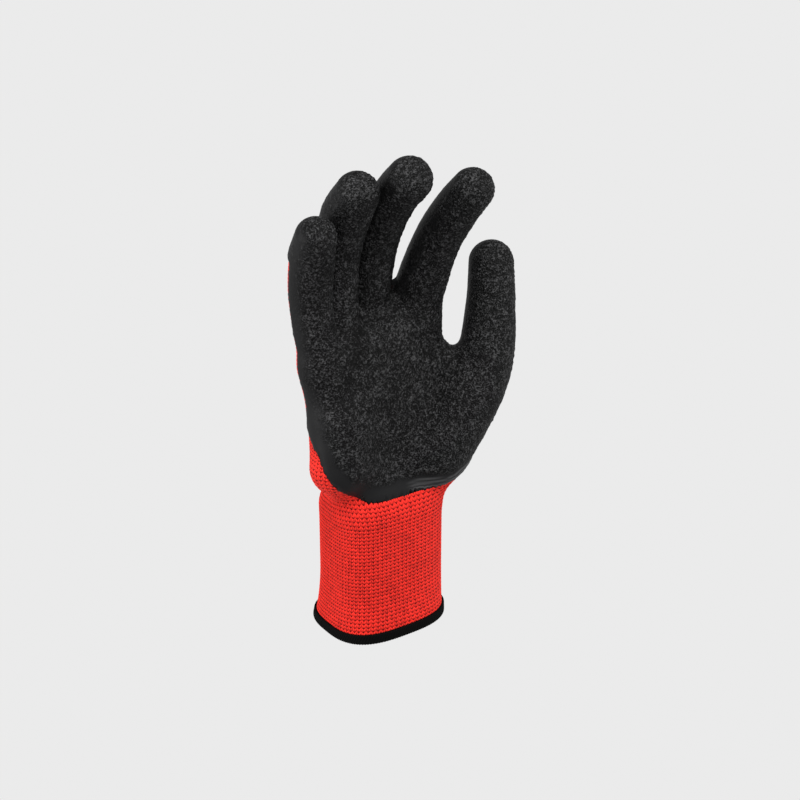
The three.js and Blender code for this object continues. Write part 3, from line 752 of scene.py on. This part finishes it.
class Skin:
    """An n by n grid over some faces of the net: its points, normals, stitch places and small faces."""

    def __init__(self, surface, faces, n):
        self.loops = surface.net.loops[faces]
        self.splits = n
        self.grid, self.count = split_faces(self.loops, n)
        points, normals = surface.patch(faces, n)
        self.points = merged(self.grid, self.count, points)
        self.normals = unit(merged(self.grid, self.count, normals))
        self.stitches = bilinear(surface.net.stitches[faces], n)
        self.quads = quads_of(self.grid).reshape(-1, 4)
        self.borders = sides_of(self.grid)[border_sides(self.loops)]

    def quad_stitches(self):
        s = self.stitches
        return np.stack([s[:, :-1, :-1], s[:, :-1, 1:], s[:, 1:, 1:], s[:, 1:, :-1]], 3).reshape(-1, 2)


def make_mesh(name, points, blocks, places=None, marks=None):
    """A mesh from points in millimetres and blocks of faces with equally many corners. places are the
    wale and course at every face corner, and marks named values at every point."""
    mesh = bpy.data.meshes.new(name)
    sizes = np.concatenate([np.full(len(block), block.shape[1]) for block in blocks])
    mesh.vertices.add(len(points))
    mesh.vertices.foreach_set("co", (np.asarray(points) * MM).ravel())
    mesh.loops.add(int(sizes.sum()))
    mesh.loops.foreach_set("vertex_index", np.concatenate([block.ravel() for block in blocks]))
    mesh.polygons.add(len(sizes))
    mesh.polygons.foreach_set("loop_start", np.concatenate([[0], np.cumsum(sizes)[:-1]]))
    mesh.update(calc_edges=True)
    mesh.polygons.foreach_set("use_smooth", np.ones(len(sizes), bool))
    if places is not None:
        mesh.uv_layers.new(name="stitches").data.foreach_set("uv", places.ravel())
    for mark, values in (marks or {}).items():
        layer = mesh.attributes.new(mark, "FLOAT", "POINT")
        layer.data.foreach_set("value", np.asarray(values, float).ravel())
    if mesh.validate():
        raise RuntimeError(name + " has a faulty mesh")
    return mesh


def closed_wall(name, outer, outer_points, inner, inner_points, marks):
    """A wall between a fine outer and a coarse inner skin. Along its border each coarse edge and the
    fine edges over it bound one face, so the wall is closed. Marks are nothing on the inner skin."""
    shift = outer.count
    ratio = outer.splits // inner.splits
    steps = np.arange(inner.splits)
    low = inner.borders[:, steps] + shift
    high = inner.borders[:, steps + 1] + shift
    over = outer.borders[:, (steps[:, None] * ratio) + np.arange(ratio, -1, -1)]
    rims = np.concatenate([low[..., None], high[..., None], over], 2).reshape(-1, ratio + 3)
    inner_quads = inner.quads[:, ::-1] + shift
    inner_places = inner.quad_stitches().reshape(-1, 4, 2)[:, ::-1].reshape(-1, 2)
    places = np.vstack([outer.quad_stitches(), inner_places, np.zeros((rims.size, 2))])
    points = np.vstack([outer_points, inner_points])
    values = {mark: np.append(value, np.zeros(inner.count)) for mark, value in marks.items()}
    return make_mesh(name, points, [outer.quads, inner_quads, rims], places, values)


def stitch_relief(places):
    """Height of a plain knit, from 0 to 1. In each wale two legs lean together, round across and along;
    a small eyelet opens between them at each course."""
    aside = np.abs(2 * np.mod(places[..., 0], 1) - 1)
    step = np.mod(places[..., 1] - STITCH_LEAN * aside, 1)
    across = 1 - (2 * aside - 1) ** 2
    along = 1 - (2 * step - 1) ** 2
    leg = (LEG_EDGE + (1 - LEG_EDGE) * across) * (LEG_EDGE + (1 - LEG_EDGE) * along)
    return leg - EYELET_DEPTH * ramp(aside, *EYELET_ASIDE) * ramp(along, *EYELET_ALONG)


def lattice_noise(points, size, seed):
    """Smooth noise from about -1 to 1, with features about size apart: a random slope at each corner
    of a cubic lattice, weighed by a smooth share of the distance along each axis."""
    slopes = unit(np.random.default_rng(seed).normal(size=(NOISE_SLOPES, 3)))
    place = np.asarray(points) / size
    cell = np.floor(place).astype(np.int64)
    part = place - cell
    fade = part ** 3 * (part * (part * 6 - 15) + 10)
    total = np.zeros(place.shape[:-1])
    for corner in np.ndindex(2, 2, 2):
        x, y, z = np.moveaxis((cell + corner) * NOISE_SHUFFLE, -1, 0)
        pick = (x ^ y ^ z) % NOISE_SLOPES
        share = np.where(corner, fade, 1 - fade).prod(-1)
        total += share * ((part - corner) * slopes[pick]).sum(-1)
    return 1.6 * total


def nearest_distance(points, targets):
    """Each point's distance to the nearest of the targets and which one that is, a block at a time."""
    distance, which = np.zeros(len(points)), np.zeros(len(points), int)
    squares = (targets ** 2).sum(1)
    for first in range(0, len(points), BLOCK):
        block = slice(first, first + BLOCK)
        gaps = squares - 2 * points[block] @ targets.T
        which[block] = gaps.argmin(1)
        distance[block] = np.sqrt(np.maximum(gaps.min(1) + (points[block] ** 2).sum(1), 0))
    return distance, which


def knit_mesh(name, surface, faces, fine, height):
    """A knitted wall whose outer skin is raised by the stitches."""
    outer = Skin(surface, faces, fine)
    inner = Skin(surface, faces, INNER_SPLITS)
    relief = merged(outer.grid, outer.count, stitch_relief(outer.stitches))
    raised = outer.points + outer.normals * (relief - STITCH_MIDDLE) * height
    return closed_wall(name, outer, raised, inner, inner.points - inner.normals * KNIT_WALL, {})


def backing_mesh(name, surface, faces):
    """The plain cloth under the coating, stained outside by the latex."""
    outer = Skin(surface, faces, BACKING_SPLITS)
    inner = Skin(surface, faces, INNER_SPLITS)
    return closed_wall(name, outer, outer.points - BACKING_DEPTH * outer.normals, inner,
                       inner.points - inner.normals * KNIT_WALL, {"soaked": np.ones(outer.count)})


def moved_border(outer, settings):
    """The skin's points, with its border swaying slowly and creeping along the stitches in teeth, which
    fades a little way in, and each point's distance to the border."""
    border = np.unique(outer.borders)
    distance, which = nearest_distance(outer.points, outer.points[border])
    centres = outer.points[outer.quads].mean(1)
    away = np.zeros((outer.count, 3))
    for corner in outer.quads.T:
        part = outer.points[corner] - centres
        away += np.stack([np.bincount(corner, part[:, i], outer.count) for i in range(3)], 1)
    spots = outer.points[border]
    wander = (settings.border_wander / MM * lattice_noise(spots, SWAY_SIZE, 3)
              + settings.border_teeth / MM * lattice_noise(spots, TOOTH_SIZE, 4))
    reach = np.clip(1 - distance / BORDER_REACH, 0, 1) ** 1.5
    return outer.points + unit(away[border])[which] * (wander[which] * reach)[:, None], distance


def crinkled_share(outer, points, distance, settings):
    """How fully the skin is crinkled, from 0 to 1: smooth on the rim, which widens towards the heel of
    the hand, and nearly smooth where it turns to the back or to the little finger's side."""
    heel_share = smooth_step(outer.points[:, 2], *RIM_HEIGHTS)
    rim = (settings.digit_rim + (settings.heel_rim - settings.digit_rim) * heel_share) / MM
    share = smooth_step(distance / rim + 0.25 * lattice_noise(points, 6, 5), 0.75, 1.25)
    little_side = smooth_step(-outer.points[:, 0], *LITTLE_SIDE)
    turned = np.maximum(outer.normals[:, 1], -outer.normals[:, 0] - 0.87 + 0.17 * little_side)
    return share * (1 - 0.85 * smooth_step(turned + 0.12 * lattice_noise(points, 4, 6), -0.05, 0.3))


def crinkles(points, size):
    """Ridges where a noise is far from zero, in two sizes, over places that another noise shifts."""
    warp = np.stack([lattice_noise(points, 2 * size, seed) for seed in (11, 12, 13)], 1)
    shifted = points + 0.35 * size * warp
    fine = np.abs(lattice_noise(shifted, size, 14))
    coarse = np.abs(lattice_noise(shifted, 2.1 * size, 15))
    return np.clip(1.3 * fine + 0.7 * coarse, 0, 1.2)


def border_folds(points, distance):
    """Thin folds side by side along the border under the thumb: a cosine of the distance to it."""
    share = (smooth_step(points[:, 0], *FOLD_START_X) * smooth_step(points[:, 2], *FOLD_TOP)
             * smooth_step(distance, 0.8, 1.6) * smooth_step(distance, 7, 5.5))
    place = (distance + 0.5 * lattice_noise(points, SWAY_SIZE, 7)) / FOLD_PITCH
    return share * (0.5 + 0.5 * np.cos(2 * np.pi * place))


def coating_mesh(name, surface, faces, settings):
    """The latex skin. Its thickness grows from the border inwards, crinkles and folds stand on it, and
    one soft crease is pressed into it."""
    outer = Skin(surface, faces, COATING_SPLITS)
    inner = Skin(surface, faces, INNER_SPLITS)
    points, distance = moved_border(outer, settings)
    share = crinkled_share(outer, points, distance, settings)
    crinkle = crinkles(points, settings.crinkle_size / MM)
    fold = border_folds(points, distance)
    crease = np.exp(-(chain_distance(points, PALM_CREASE, np.zeros(4)) / CREASE_WIDTH) ** 2)
    body = LAYER_GAP + COATING_WALL - EDGE_THICKNESS - LIP_THICKNESS
    height = EDGE_THICKNESS + LIP_THICKNESS * smooth_step(distance, 0, 1)
    height += body * smooth_step(distance, 0.6, 3) + FOLD_HEIGHT * fold - CREASE_DEPTH * crease
    height += settings.crinkle_height / MM * share * (crinkle - CRINKLE_MIDDLE)
    raised = points + outer.normals * height[:, None]
    # crinkle carries the painted highlight on the ridges, fold the painted highlight on the thin folds, and
    # crease the painted shade in the palm's crease
    marks = {"crinkle": crinkle * share, "rim": 1 - share, "fold": fold ** 2, "crease": crease}
    return closed_wall(name, outer, raised, inner, inner.points + inner.normals * 0.03, marks)


def hem_profile():
    """The channel's section from the lip outside the cloth, round the bottom and up inside it: places
    out from the cloth, heights, and how far the yarn is raised there. The bottom is a squarish half
    oval."""
    outside, inside = LAYER_GAP + HEM_WALL, -KNIT_WALL - LAYER_GAP - HEM_WALL
    middle, half = (outside + inside) / 2, (outside - inside) / 2
    bend = np.linspace(0, np.pi, HEM_BEND_POINTS)
    bend_x = middle + half * np.sign(np.cos(bend)) * np.abs(np.cos(bend)) ** HEM_SQUARENESS
    bend_z = HEM_ROUND * (1 - np.sin(bend) ** HEM_SQUARENESS)
    side = np.linspace(HEM_HEIGHT, HEM_ROUND, HEM_SIDE_POINTS + 1)[:-1]
    on_cloth = LAYER_GAP * 0.2
    x = np.concatenate([on_cloth + (outside - on_cloth) * np.array(HEM_LIP["out"]),
                        np.full(len(side), outside), bend_x, np.full(len(side), inside),
                        [inside + HEM_WALL, inside + HEM_WALL, 0.02, 0.02]])
    z = np.concatenate([HEM_HEIGHT + np.array(HEM_LIP["over"]), side, bend_z, side[::-1],
                        [HEM_HEIGHT, HEM_FLOOR, HEM_FLOOR, HEM_HEIGHT]])
    raised = np.concatenate([HEM_LIP["raised"], np.ones(len(bend) + 2 * len(side)), np.zeros(4)])
    return x, z, raised


def hem_mesh(name, settings):
    """The overlocked edge: a round-bottomed channel carried round the cuff's lower edge, its outer and
    lower sides raised into one turn of yarn after another, each leaning a little."""
    pitch = settings.turn_pitch / MM
    ring = oval(np.arange(COLUMNS), HEM_HEIGHT)
    girth = np.linalg.norm(ring - np.roll(ring, 1, 0), axis=1).sum()
    count = int(round(girth / pitch)) * HEM_STEPS
    places = np.arange(count) * COLUMNS / count
    low, high = oval(places, HEM_FLOOR + LAYER_GAP), oval(places, HEM_HEIGHT)
    out = unit(slope(low) * [1, 1, 0])

    x, z, raised = hem_profile()
    length = np.cumsum(np.hypot(np.diff(x, prepend=x[0]), np.diff(z, prepend=z[0])))
    turn = np.arange(count)[:, None] / HEM_STEPS + settings.turn_lean * length / pitch
    yarn = np.abs(np.cos(np.pi * turn)) ** HEM_SHARPNESS
    run, climb = unit(np.stack([np.gradient(x), np.gradient(z)], 1)).T
    lift = settings.turn_height / MM * raised * (yarn - 0.6)
    height = z + lift * run
    share = ((height - HEM_FLOOR) / (HEM_HEIGHT - HEM_FLOOR)).clip(0, 1)[..., None]
    points = low[:, None] * (1 - share) + high[:, None] * share
    points = points + out[:, None] * (x - lift * climb)[..., None]
    points[..., 2] = height
    index = np.arange(count * len(x)).reshape(count, len(x))
    ahead, beside = np.roll(index, -1, 0), np.roll(index, -1, 1)
    quads = np.stack([index, beside, np.roll(ahead, -1, 1), ahead], -1).reshape(-1, 4)
    # The yarn mark is the turns' height, and also paints shade into the gaps between them
    marks = {"yarn": np.broadcast_to(yarn, (count, len(x)))}
    return make_mesh(name, points.reshape(-1, 3), [quads], None, marks)


class Nodes:
    """Short ways to add and link the nodes of one material."""

    def __init__(self, name):
        self.material = bpy.data.materials.new(name)
        self.material.use_nodes = True
        self.tree = self.material.node_tree
        self.shader = self.tree.nodes["Principled BSDF"]

    def add(self, kind, settings=None, **inputs):
        node = self.tree.nodes.new("ShaderNode" + kind)
        for key, value in (settings or {}).items():
            setattr(node, key, value)
        for key, value in inputs.items():
            self.set(node.inputs[key.replace("_", " ")], value)
        return node

    def set(self, socket, value):
        if isinstance(value, bpy.types.NodeSocket):
            self.tree.links.new(value, socket)
        else:
            socket.default_value = value

    def math(self, operation, *values):
        node = self.tree.nodes.new("ShaderNodeMath")
        node.operation = operation
        for socket, value in zip(node.inputs, values):
            self.set(socket, value)
        return node.outputs[0]

    def mix(self, share, a, b):
        node = self.add("Mix", {"data_type": "RGBA"})
        self.set(node.inputs["Factor"], share)
        self.set(node.inputs["A"], a)
        self.set(node.inputs["B"], b)
        return node.outputs["Result"]

    def clamped(self, value):
        return self.math("MINIMUM", self.math("MAXIMUM", value, 0.0), 1.0)

    def varied(self, value, noise, amount):
        """The value, plus or minus up to half the amount."""
        return self.math("ADD", value, self.math("MULTIPLY_ADD", noise, amount, -amount / 2))

    def hump(self, value):
        """One at a half, nothing at zero and one."""
        squared = self.math("POWER", self.math("MULTIPLY_ADD", value, 2.0, -1.0), 2.0)
        return self.math("SUBTRACT", 1.0, squared)

    def spread(self, value, low, high, to_low=0.0, to_high=1.0):
        node = self.add("MapRange", None, Value=value, From_Min=low, From_Max=high,
                        To_Min=to_low, To_Max=to_high)
        return node.outputs["Result"]

    def mark(self, name):
        return self.add("Attribute", {"attribute_name": name}).outputs["Fac"]

    def noise(self, where, size, detail=2.0):
        return self.add("TexNoise", None, Vector=where, Scale=1 / size, Detail=detail).outputs["Fac"]

    def bump(self, height, depth, strength=1.0, under=None):
        node = self.add("Bump", None, Height=height, Distance=depth, Strength=strength)
        if under is not None:
            self.set(node.inputs["Normal"], under)
        return node.outputs["Normal"]

    def finish(self, **inputs):
        """Sets the shader's sockets and gives the material."""
        for key, value in inputs.items():
            self.set(self.shader.inputs[key.replace("_", " ")], value)
        return self.material


def colour(value):
    return (*value, 1.0)


def knit_material(name, settings):
    """Red yarn: painted light on the stitches' raised backs and painted shade deep in their holes, each
    stitch a little different, with the yarn's fibres along it. It is black where latex has soaked in."""
    nodes = Nodes(name)
    uv = nodes.add("UVMap", {"uv_map": "stitches"}).outputs["UV"]
    parts = nodes.add("SeparateXYZ", None, Vector=uv).outputs
    aside = nodes.math("ABSOLUTE", nodes.math("MULTIPLY_ADD", nodes.math("FRACT", parts["X"]), 2.0, -1.0))
    leant = nodes.math("SUBTRACT", parts["Y"], nodes.math("MULTIPLY", aside, STITCH_LEAN))
    step = nodes.math("FRACT", leant)
    across = nodes.hump(aside)
    along = nodes.hump(step)
    eyelet = nodes.math("MULTIPLY", nodes.spread(aside, *EYELET_ASIDE), nodes.spread(along, *EYELET_ALONG))
    leg = nodes.math("MULTIPLY", nodes.math("MULTIPLY_ADD", across, 1 - LEG_EDGE, LEG_EDGE),
                     nodes.math("MULTIPLY_ADD", along, 1 - LEG_EDGE, LEG_EDGE))
    height = nodes.math("SUBTRACT", leg, nodes.math("MULTIPLY", eyelet, EYELET_DEPTH))

    where = nodes.add("TexCoord").outputs["Object"]
    wale = nodes.math("FLOOR", nodes.math("MULTIPLY", parts["X"], 2.0))
    course = nodes.math("FLOOR", leant)
    stitch = nodes.add("CombineXYZ", None, X=wale, Y=course).outputs["Vector"]
    chance = nodes.add("TexWhiteNoise", {"noise_dimensions": "2D"}, Vector=stitch).outputs["Value"]
    patches = nodes.noise(where, 0.02)
    fibres = nodes.add("Mapping", None, Vector=uv, Scale=(16.0, 3.0, 1.0)).outputs["Vector"]
    fibre = nodes.add("TexNoise", None, Vector=fibres, Scale=1.0, Detail=3.0).outputs["Fac"]

    # Painted light and shade: the raised legs are painted lighter and the eyelets darker, towards the hole
    # shade colour
    light = nodes.math("MULTIPLY_ADD", leg, 0.65, nodes.math("MULTIPLY_ADD", eyelet, -1.25, 0.38))
    for noise, amount in ((chance, 0.4), (fibre, 0.5), (patches, 0.3)):
        light = nodes.varied(light, noise, amount)
    shade = nodes.mix(nodes.clamped(light), colour(settings.hole_shade_colour), colour(settings.yarn_colour))
    bumps = nodes.bump(height, settings.stitch_height * 0.5)
    return nodes.finish(
        Base_Color=nodes.mix(nodes.mark("soaked"), shade, colour(LATEX_STAIN)),
        Normal=nodes.bump(fibre, 0.00012, 0.6, bumps),
        Roughness=nodes.spread(chance, 0, 1, 0.62, 0.78),
        Specular_IOR_Level=0.1,
        Sheen_Weight=0.08,
        Sheen_Roughness=0.5,
        Sheen_Tint=(1.0, 0.35, 0.3, 1.0),
    )


def latex_material(settings):
    """Black latex: painted highlight on its crinkles' ridges, painted shade in the pits between them and
    in the palm's crease, fine flecks lighter and darker, a painted highlight on the thin folds by the
    border, and smooth along the rim."""
    nodes = Nodes("crinkled latex")
    where = nodes.add("TexCoord").outputs["Object"]
    rim = nodes.mark("rim")
    fleck = nodes.spread(nodes.noise(where, 0.0008, 1.0), 0.34, 0.66)
    dimple = nodes.spread(nodes.noise(where, settings.crinkle_size, 2.0), 0.35, 0.65)
    # Painted light and shade: the crinkle mark lifts the ridges towards the ridge highlight colour and leaves
    # the pits at the pit shade colour; noises add flecks and patches
    light = nodes.math("MULTIPLY", nodes.mark("crinkle"), 0.7)
    for noise, amount in ((fleck, 0.9), (dimple, 0.4), (nodes.noise(where, 0.012), 0.4)):
        light = nodes.varied(light, noise, amount)
    # Painted shade: the crease mark darkens the colour along the palm's crease
    light = nodes.math("SUBTRACT", light, nodes.math("MULTIPLY", nodes.mark("crease"), 0.3))
    light = nodes.math("POWER", nodes.clamped(light), 1.8)
    shade = nodes.mix(light, colour(settings.pit_shade_colour), colour(settings.ridge_highlight_colour))
    shade = nodes.mix(rim, shade, colour(settings.rim_colour))
    inside = nodes.math("SUBTRACT", 1.0, rim)
    depth = nodes.math("MULTIPLY", nodes.math("MULTIPLY_ADD", dimple, 0.6, fleck), inside)
    bumps = nodes.bump(depth, settings.crinkle_height * 0.6)
    return nodes.finish(
        # Painted highlight: the fold mark lightens the thin folds by the border towards the fold highlight
        # colour
        Base_Color=nodes.mix(nodes.mark("fold"), shade, colour(settings.fold_highlight_colour)),
        Normal=nodes.bump(nodes.noise(where, 0.0004), 0.00002, 0.5, bumps),
        Roughness=nodes.spread(rim, 0, 1, 0.6, 0.5),
        Specular_IOR_Level=nodes.spread(rim, 0, 1, 0.1, 0.07),
    )


def hem_material(settings):
    """Near-black overlock yarn with fine fibres: darker in random fibre flecks, and with painted shade in the
    gaps between the turns.
    """
    nodes = Nodes("overlock yarn")
    where = nodes.add("TexCoord").outputs["Object"]
    yarn = nodes.mark("yarn")
    fibre = nodes.noise(where, 0.0003, 3.0)
    # Painted shade: the yarn mark darkens the gaps between the turns; the fibre noise adds random darker
    # flecks
    tone = nodes.math("MULTIPLY_ADD", fibre, 0.5, nodes.math("MULTIPLY", yarn, 0.5))
    fibre_dark_and_turn_shade = colour(np.array(settings.yarn_colour) * 0.35)
    return nodes.finish(
        Base_Color=nodes.mix(tone, fibre_dark_and_turn_shade, colour(settings.yarn_colour)),
        Normal=nodes.bump(fibre, 0.0001, 0.6),
        Roughness=nodes.spread(fibre, 0, 1, 0.6, 0.85),
        Specular_IOR_Level=0.05,
    )


def shining_material(name, light):
    """An even light surface that shows no shadow."""
    return Nodes(name).finish(Base_Color=(0, 0, 0, 1), Specular_IOR_Level=0.0,
                              Emission_Color=(1, 1, 1, 1), Emission_Strength=light)


def add_piece(name, mesh, material, slot, *nodes):
    """Puts a finished mesh into the scene in place of CAD nodes."""
    piece = bpy.data.objects.new(name, mesh)
    bpy.context.scene.collection.objects.link(piece)
    mesh.materials.append(material)
    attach(piece, "root")
    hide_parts(*nodes)
    return piece


built = {}


def glove_surface():
    """The evened surface, worked out once for all the pieces."""
    if not built:
        built["surface"] = Surface(build_net())
    return built["surface"]


def zone_faces(zone):
    return np.flatnonzero(glove_surface().net.zones == zone)


class KnitSettings(PropertyGroup):
    stitch_height: FloatProperty(name="Stitch height", description="How far a stitch stands over its hole",
                                 default=0.00055, unit="LENGTH")
    yarn_colour: FloatVectorProperty(name="Yarn colour", description="Colour on the backs of the stitches",
                                     default=(0.76, 0.025, 0.016), subtype="COLOR")
    # Painted shade: the colour that the holes between the stitches are darkened to
    hole_shade_colour: FloatVectorProperty(name="Hole colour", description="Colour deep between the stitches",
                                     default=(0.13, 0.001, 0.001), subtype="COLOR")


class CoatingSettings(PropertyGroup):
    crinkle_size: FloatProperty(name="Crinkle size", description="Distance from one crinkle to the next",
                                default=0.0015, unit="LENGTH")
    crinkle_height: FloatProperty(name="Crinkle height", description="Height of the crinkles",
                                  default=0.0005, unit="LENGTH")
    heel_rim: FloatProperty(name="Heel rim", description="Width of the smooth rim at the heel of the hand",
                            default=0.008, unit="LENGTH")
    digit_rim: FloatProperty(name="Digit rim", description="Width of the smooth rim on the digits",
                             default=0.0012, unit="LENGTH")
    border_wander: FloatProperty(name="Border wander", description="How far the dip line sways",
                                 default=0.0009, unit="LENGTH")
    border_teeth: FloatProperty(name="Border teeth", description="How far the latex creeps along stitches",
                                default=0.0018, unit="LENGTH")
    # Painted shade in the crinkles' pits
    pit_shade_colour: FloatVectorProperty(name="Pit colour", description="Colour in the pits of the crinkle",
                                    default=(0.0006, 0.0006, 0.0006), subtype="COLOR")
    # Painted highlight on the crinkles' ridges
    ridge_highlight_colour: FloatVectorProperty(name="Ridge colour", description="Colour on the ridges of the crinkle",
                                      default=(0.044, 0.044, 0.045), subtype="COLOR")
    # Painted highlight on the thin folds by the border
    fold_highlight_colour: FloatVectorProperty(name="Fold colour", description="Colour on the thin folds by the border",
                                     default=(0.08, 0.08, 0.082), subtype="COLOR")
    rim_colour: FloatVectorProperty(name="Rim colour", description="Colour of the smooth rim",
                                    default=(0.009, 0.009, 0.0094), subtype="COLOR")


class HemSettings(PropertyGroup):
    turn_pitch: FloatProperty(name="Turn pitch", description="Distance from one turn of yarn to the next",
                              default=0.0011, unit="LENGTH")
    turn_height: FloatProperty(name="Turn height", description="How far a turn stands over the next gap",
                               default=0.00035, unit="LENGTH")
    turn_lean: FloatProperty(name="Turn lean", description="How far a turn leans along the edge as it rises",
                             default=0.35)
    yarn_colour: FloatVectorProperty(name="Yarn colour", description="Colour of the overlock yarn",
                                     default=(0.002, 0.002, 0.002), subtype="COLOR")


class StageSettings(PropertyGroup):
    azimuth: FloatProperty(name="Azimuth", description="The camera's angle round the glove, in degrees",
                           default=-34.6)
    elevation: FloatProperty(name="Elevation", description="The camera's angle above the horizon, in degrees",
                             default=25.2)
    distance: FloatProperty(name="Distance", description="From the aimed point to the camera",
                            default=0.9, unit="LENGTH")
    lens: FloatProperty(name="Lens", description="The camera's focal length in millimetres", default=82.65)
    aim: FloatVectorProperty(name="Aim", description="The point in the middle of the picture",
                             default=(0.0139, 0.0008, 0.1163), subtype="TRANSLATION", unit="LENGTH")
    floor_drop: FloatProperty(name="Floor drop", description="How far the floor lies below the cuff",
                              default=0.45, unit="LENGTH")
    floor_light: FloatProperty(name="Floor light", description="Brightness that the floor gives out",
                               default=0.83)
    room_light: FloatProperty(name="Room light", description="Brightness of the light from all around",
                              default=0.5)
    key_power: FloatProperty(name="Key power", description="The main light's power in watts", default=9.0)
    left_power: FloatProperty(name="Left power", description="The left light's power in watts", default=5.6)
    right_power: FloatProperty(name="Right power", description="The right light's power in watts",
                               default=1.5)


class GLOVE_OT_stage(Operator):
    """Makes the floor, the soft lights and the camera at the photograph's angle"""
    bl_idname = "glove.stage"
    bl_label = "Stage"

    def execute(self, context):
        settings = context.scene.glove_stage
        azimuth, elevation = np.radians([settings.azimuth, settings.elevation])
        back = np.array([np.sin(azimuth) * np.cos(elevation), -np.cos(azimuth) * np.cos(elevation),
                         np.sin(elevation)])
        right = np.array([np.cos(azimuth), np.sin(azimuth), 0.0])
        aim = np.array(settings.aim)
        camera = bpy.data.objects.new("camera", bpy.data.cameras.new("camera"))
        camera.data.lens = settings.lens
        camera.data.sensor_width = 36
        camera.data.clip_end = 50
        place_facing(camera, aim + back * settings.distance, aim)
        context.scene.collection.objects.link(camera)
        context.scene.camera = camera

        floor = bpy.data.objects.new("floor", make_mesh("floor", FLOOR_CORNERS, [np.arange(4)[None]]))
        floor.location.z = -settings.floor_drop
        floor.data.materials.append(shining_material("pale floor", settings.floor_light))
        context.scene.collection.objects.link(floor)

        world = bpy.data.worlds.new("room")
        world.use_nodes = True
        shade = world.node_tree.nodes["Background"]
        shade.inputs["Color"].default_value = (1, 1, 1, 1)
        shade.inputs["Strength"].default_value = settings.room_light
        context.scene.world = world
        context.scene.view_settings.view_transform = "Standard"

        towards = unit(back * [1, 1, 0])
        for name, light in LIGHTS.items():
            place = aim + light["right"] * right + light["towards"] * towards + [0, 0, light["up"]]
            add_light(name, place, aim, light["size"], getattr(settings, name + "_power"))
        return {"FINISHED"}


def place_facing(thing, place, aim):
    """Puts a camera or light at a place, looking at another with its top up."""
    back = unit(np.asarray(place) - aim)
    right = unit(np.cross([0, 0, 1], back))
    up = np.cross(back, right)
    matrix = np.eye(4)
    matrix[:3, :3] = np.stack([right, up, back], 1)
    matrix[:3, 3] = place
    thing.matrix_world = Matrix(matrix.tolist())


def add_light(name, place, aim, size, power):
    light = bpy.data.lights.new(name, "AREA")
    light.shape = "DISK"
    light.size = size
    light.energy = power
    lamp = bpy.data.objects.new(name, light)
    place_facing(lamp, place, aim)
    bpy.context.scene.collection.objects.link(lamp)


class GLOVE_OT_knit_hand(Operator):
    """Knits the seamless hand: the open back in full stitches and the cloth under the coating"""
    bl_idname = "glove.knit_hand"
    bl_label = "Knitted hand"

    def execute(self, context):
        settings = context.scene.glove_knit
        material = knit_material("red knit", settings)
        surface = glove_surface()
        mesh = knit_mesh("knit_back", surface, zone_faces(1), KNIT_SPLITS, settings.stitch_height / MM)
        add_piece("knit_back", mesh, material, "knit", "knit_hand")
        add_piece("knit_under_coating", backing_mesh("knit_under_coating", surface, zone_faces(2)),
                  material, "knit", "knit_hand")
        return {"FINISHED"}


class GLOVE_OT_knit_cuff(Operator):
    """Knits the elastic cuff"""
    bl_idname = "glove.knit_cuff"
    bl_label = "Knitted cuff"

    def execute(self, context):
        settings = context.scene.glove_knit
        mesh = knit_mesh("elastic_cuff", glove_surface(), zone_faces(0), CUFF_SPLITS,
                         settings.stitch_height / MM)
        add_piece("elastic_cuff", mesh, knit_material("red cuff knit", settings), "cuff_knit", "knit_cuff")
        return {"FINISHED"}


class GLOVE_OT_coating(Operator):
    """Dips the palm, the digits' palm sides and the fingertips in crinkled latex"""
    bl_idname = "glove.coating"
    bl_label = "Latex coating"

    def execute(self, context):
        settings = context.scene.glove_coating
        mesh = coating_mesh("crinkled_latex", glove_surface(), zone_faces(2), settings)
        add_piece("crinkled_latex", mesh, latex_material(settings), "latex", "latex_coating")
        return {"FINISHED"}


class GLOVE_OT_hem(Operator):
    """Winds the overlock yarn over the cuff's lower edge"""
    bl_idname = "glove.hem"
    bl_label = "Overlocked edge"

    def execute(self, context):
        settings = context.scene.glove_hem
        add_piece("overlock_turns", hem_mesh("overlock_turns", settings), hem_material(settings),
                  "hem_yarn", "overlock_hem")
        return {"FINISHED"}


STEPS = [GLOVE_OT_stage, GLOVE_OT_knit_hand, GLOVE_OT_knit_cuff, GLOVE_OT_coating, GLOVE_OT_hem]
SETTINGS = {"glove_knit": KnitSettings, "glove_coating": CoatingSettings, "glove_hem": HemSettings,
            "glove_stage": StageSettings}


class GLOVE_PT_steps(Panel):
    """Lists the glove's pieces and their settings"""
    bl_idname = "GLOVE_PT_steps"
    bl_label = "Latex coated grip glove"
    bl_space_type = "VIEW_3D"
    bl_region_type = "UI"
    bl_category = "Glove"

    def draw(self, context):
        for step in STEPS:
            self.layout.operator(step.bl_idname)
        for name in SETTINGS:
            box = self.layout.box()
            group = getattr(context.scene, name)
            for key in group.__annotations__:
                box.prop(group, key)


def register():
    for group in [*SETTINGS.values(), *STEPS, GLOVE_PT_steps]:
        bpy.utils.register_class(group)
    for name, group in SETTINGS.items():
        setattr(bpy.types.Scene, name, PointerProperty(type=group))


def unregister():
    for name in SETTINGS:
        delattr(bpy.types.Scene, name)
    for group in reversed([*SETTINGS.values(), *STEPS, GLOVE_PT_steps]):
        bpy.utils.unregister_class(group)


def write_sizes():
    """Updates the view layer."""
    bpy.context.view_layer.update()


def main():
    register()
    bpy.ops.glove.stage()
    bpy.ops.glove.knit_hand()
    bpy.ops.glove.knit_cuff()
    bpy.ops.glove.coating()
    bpy.ops.glove.hem()
    write_sizes()


if __name__ == "__main__":
    main()
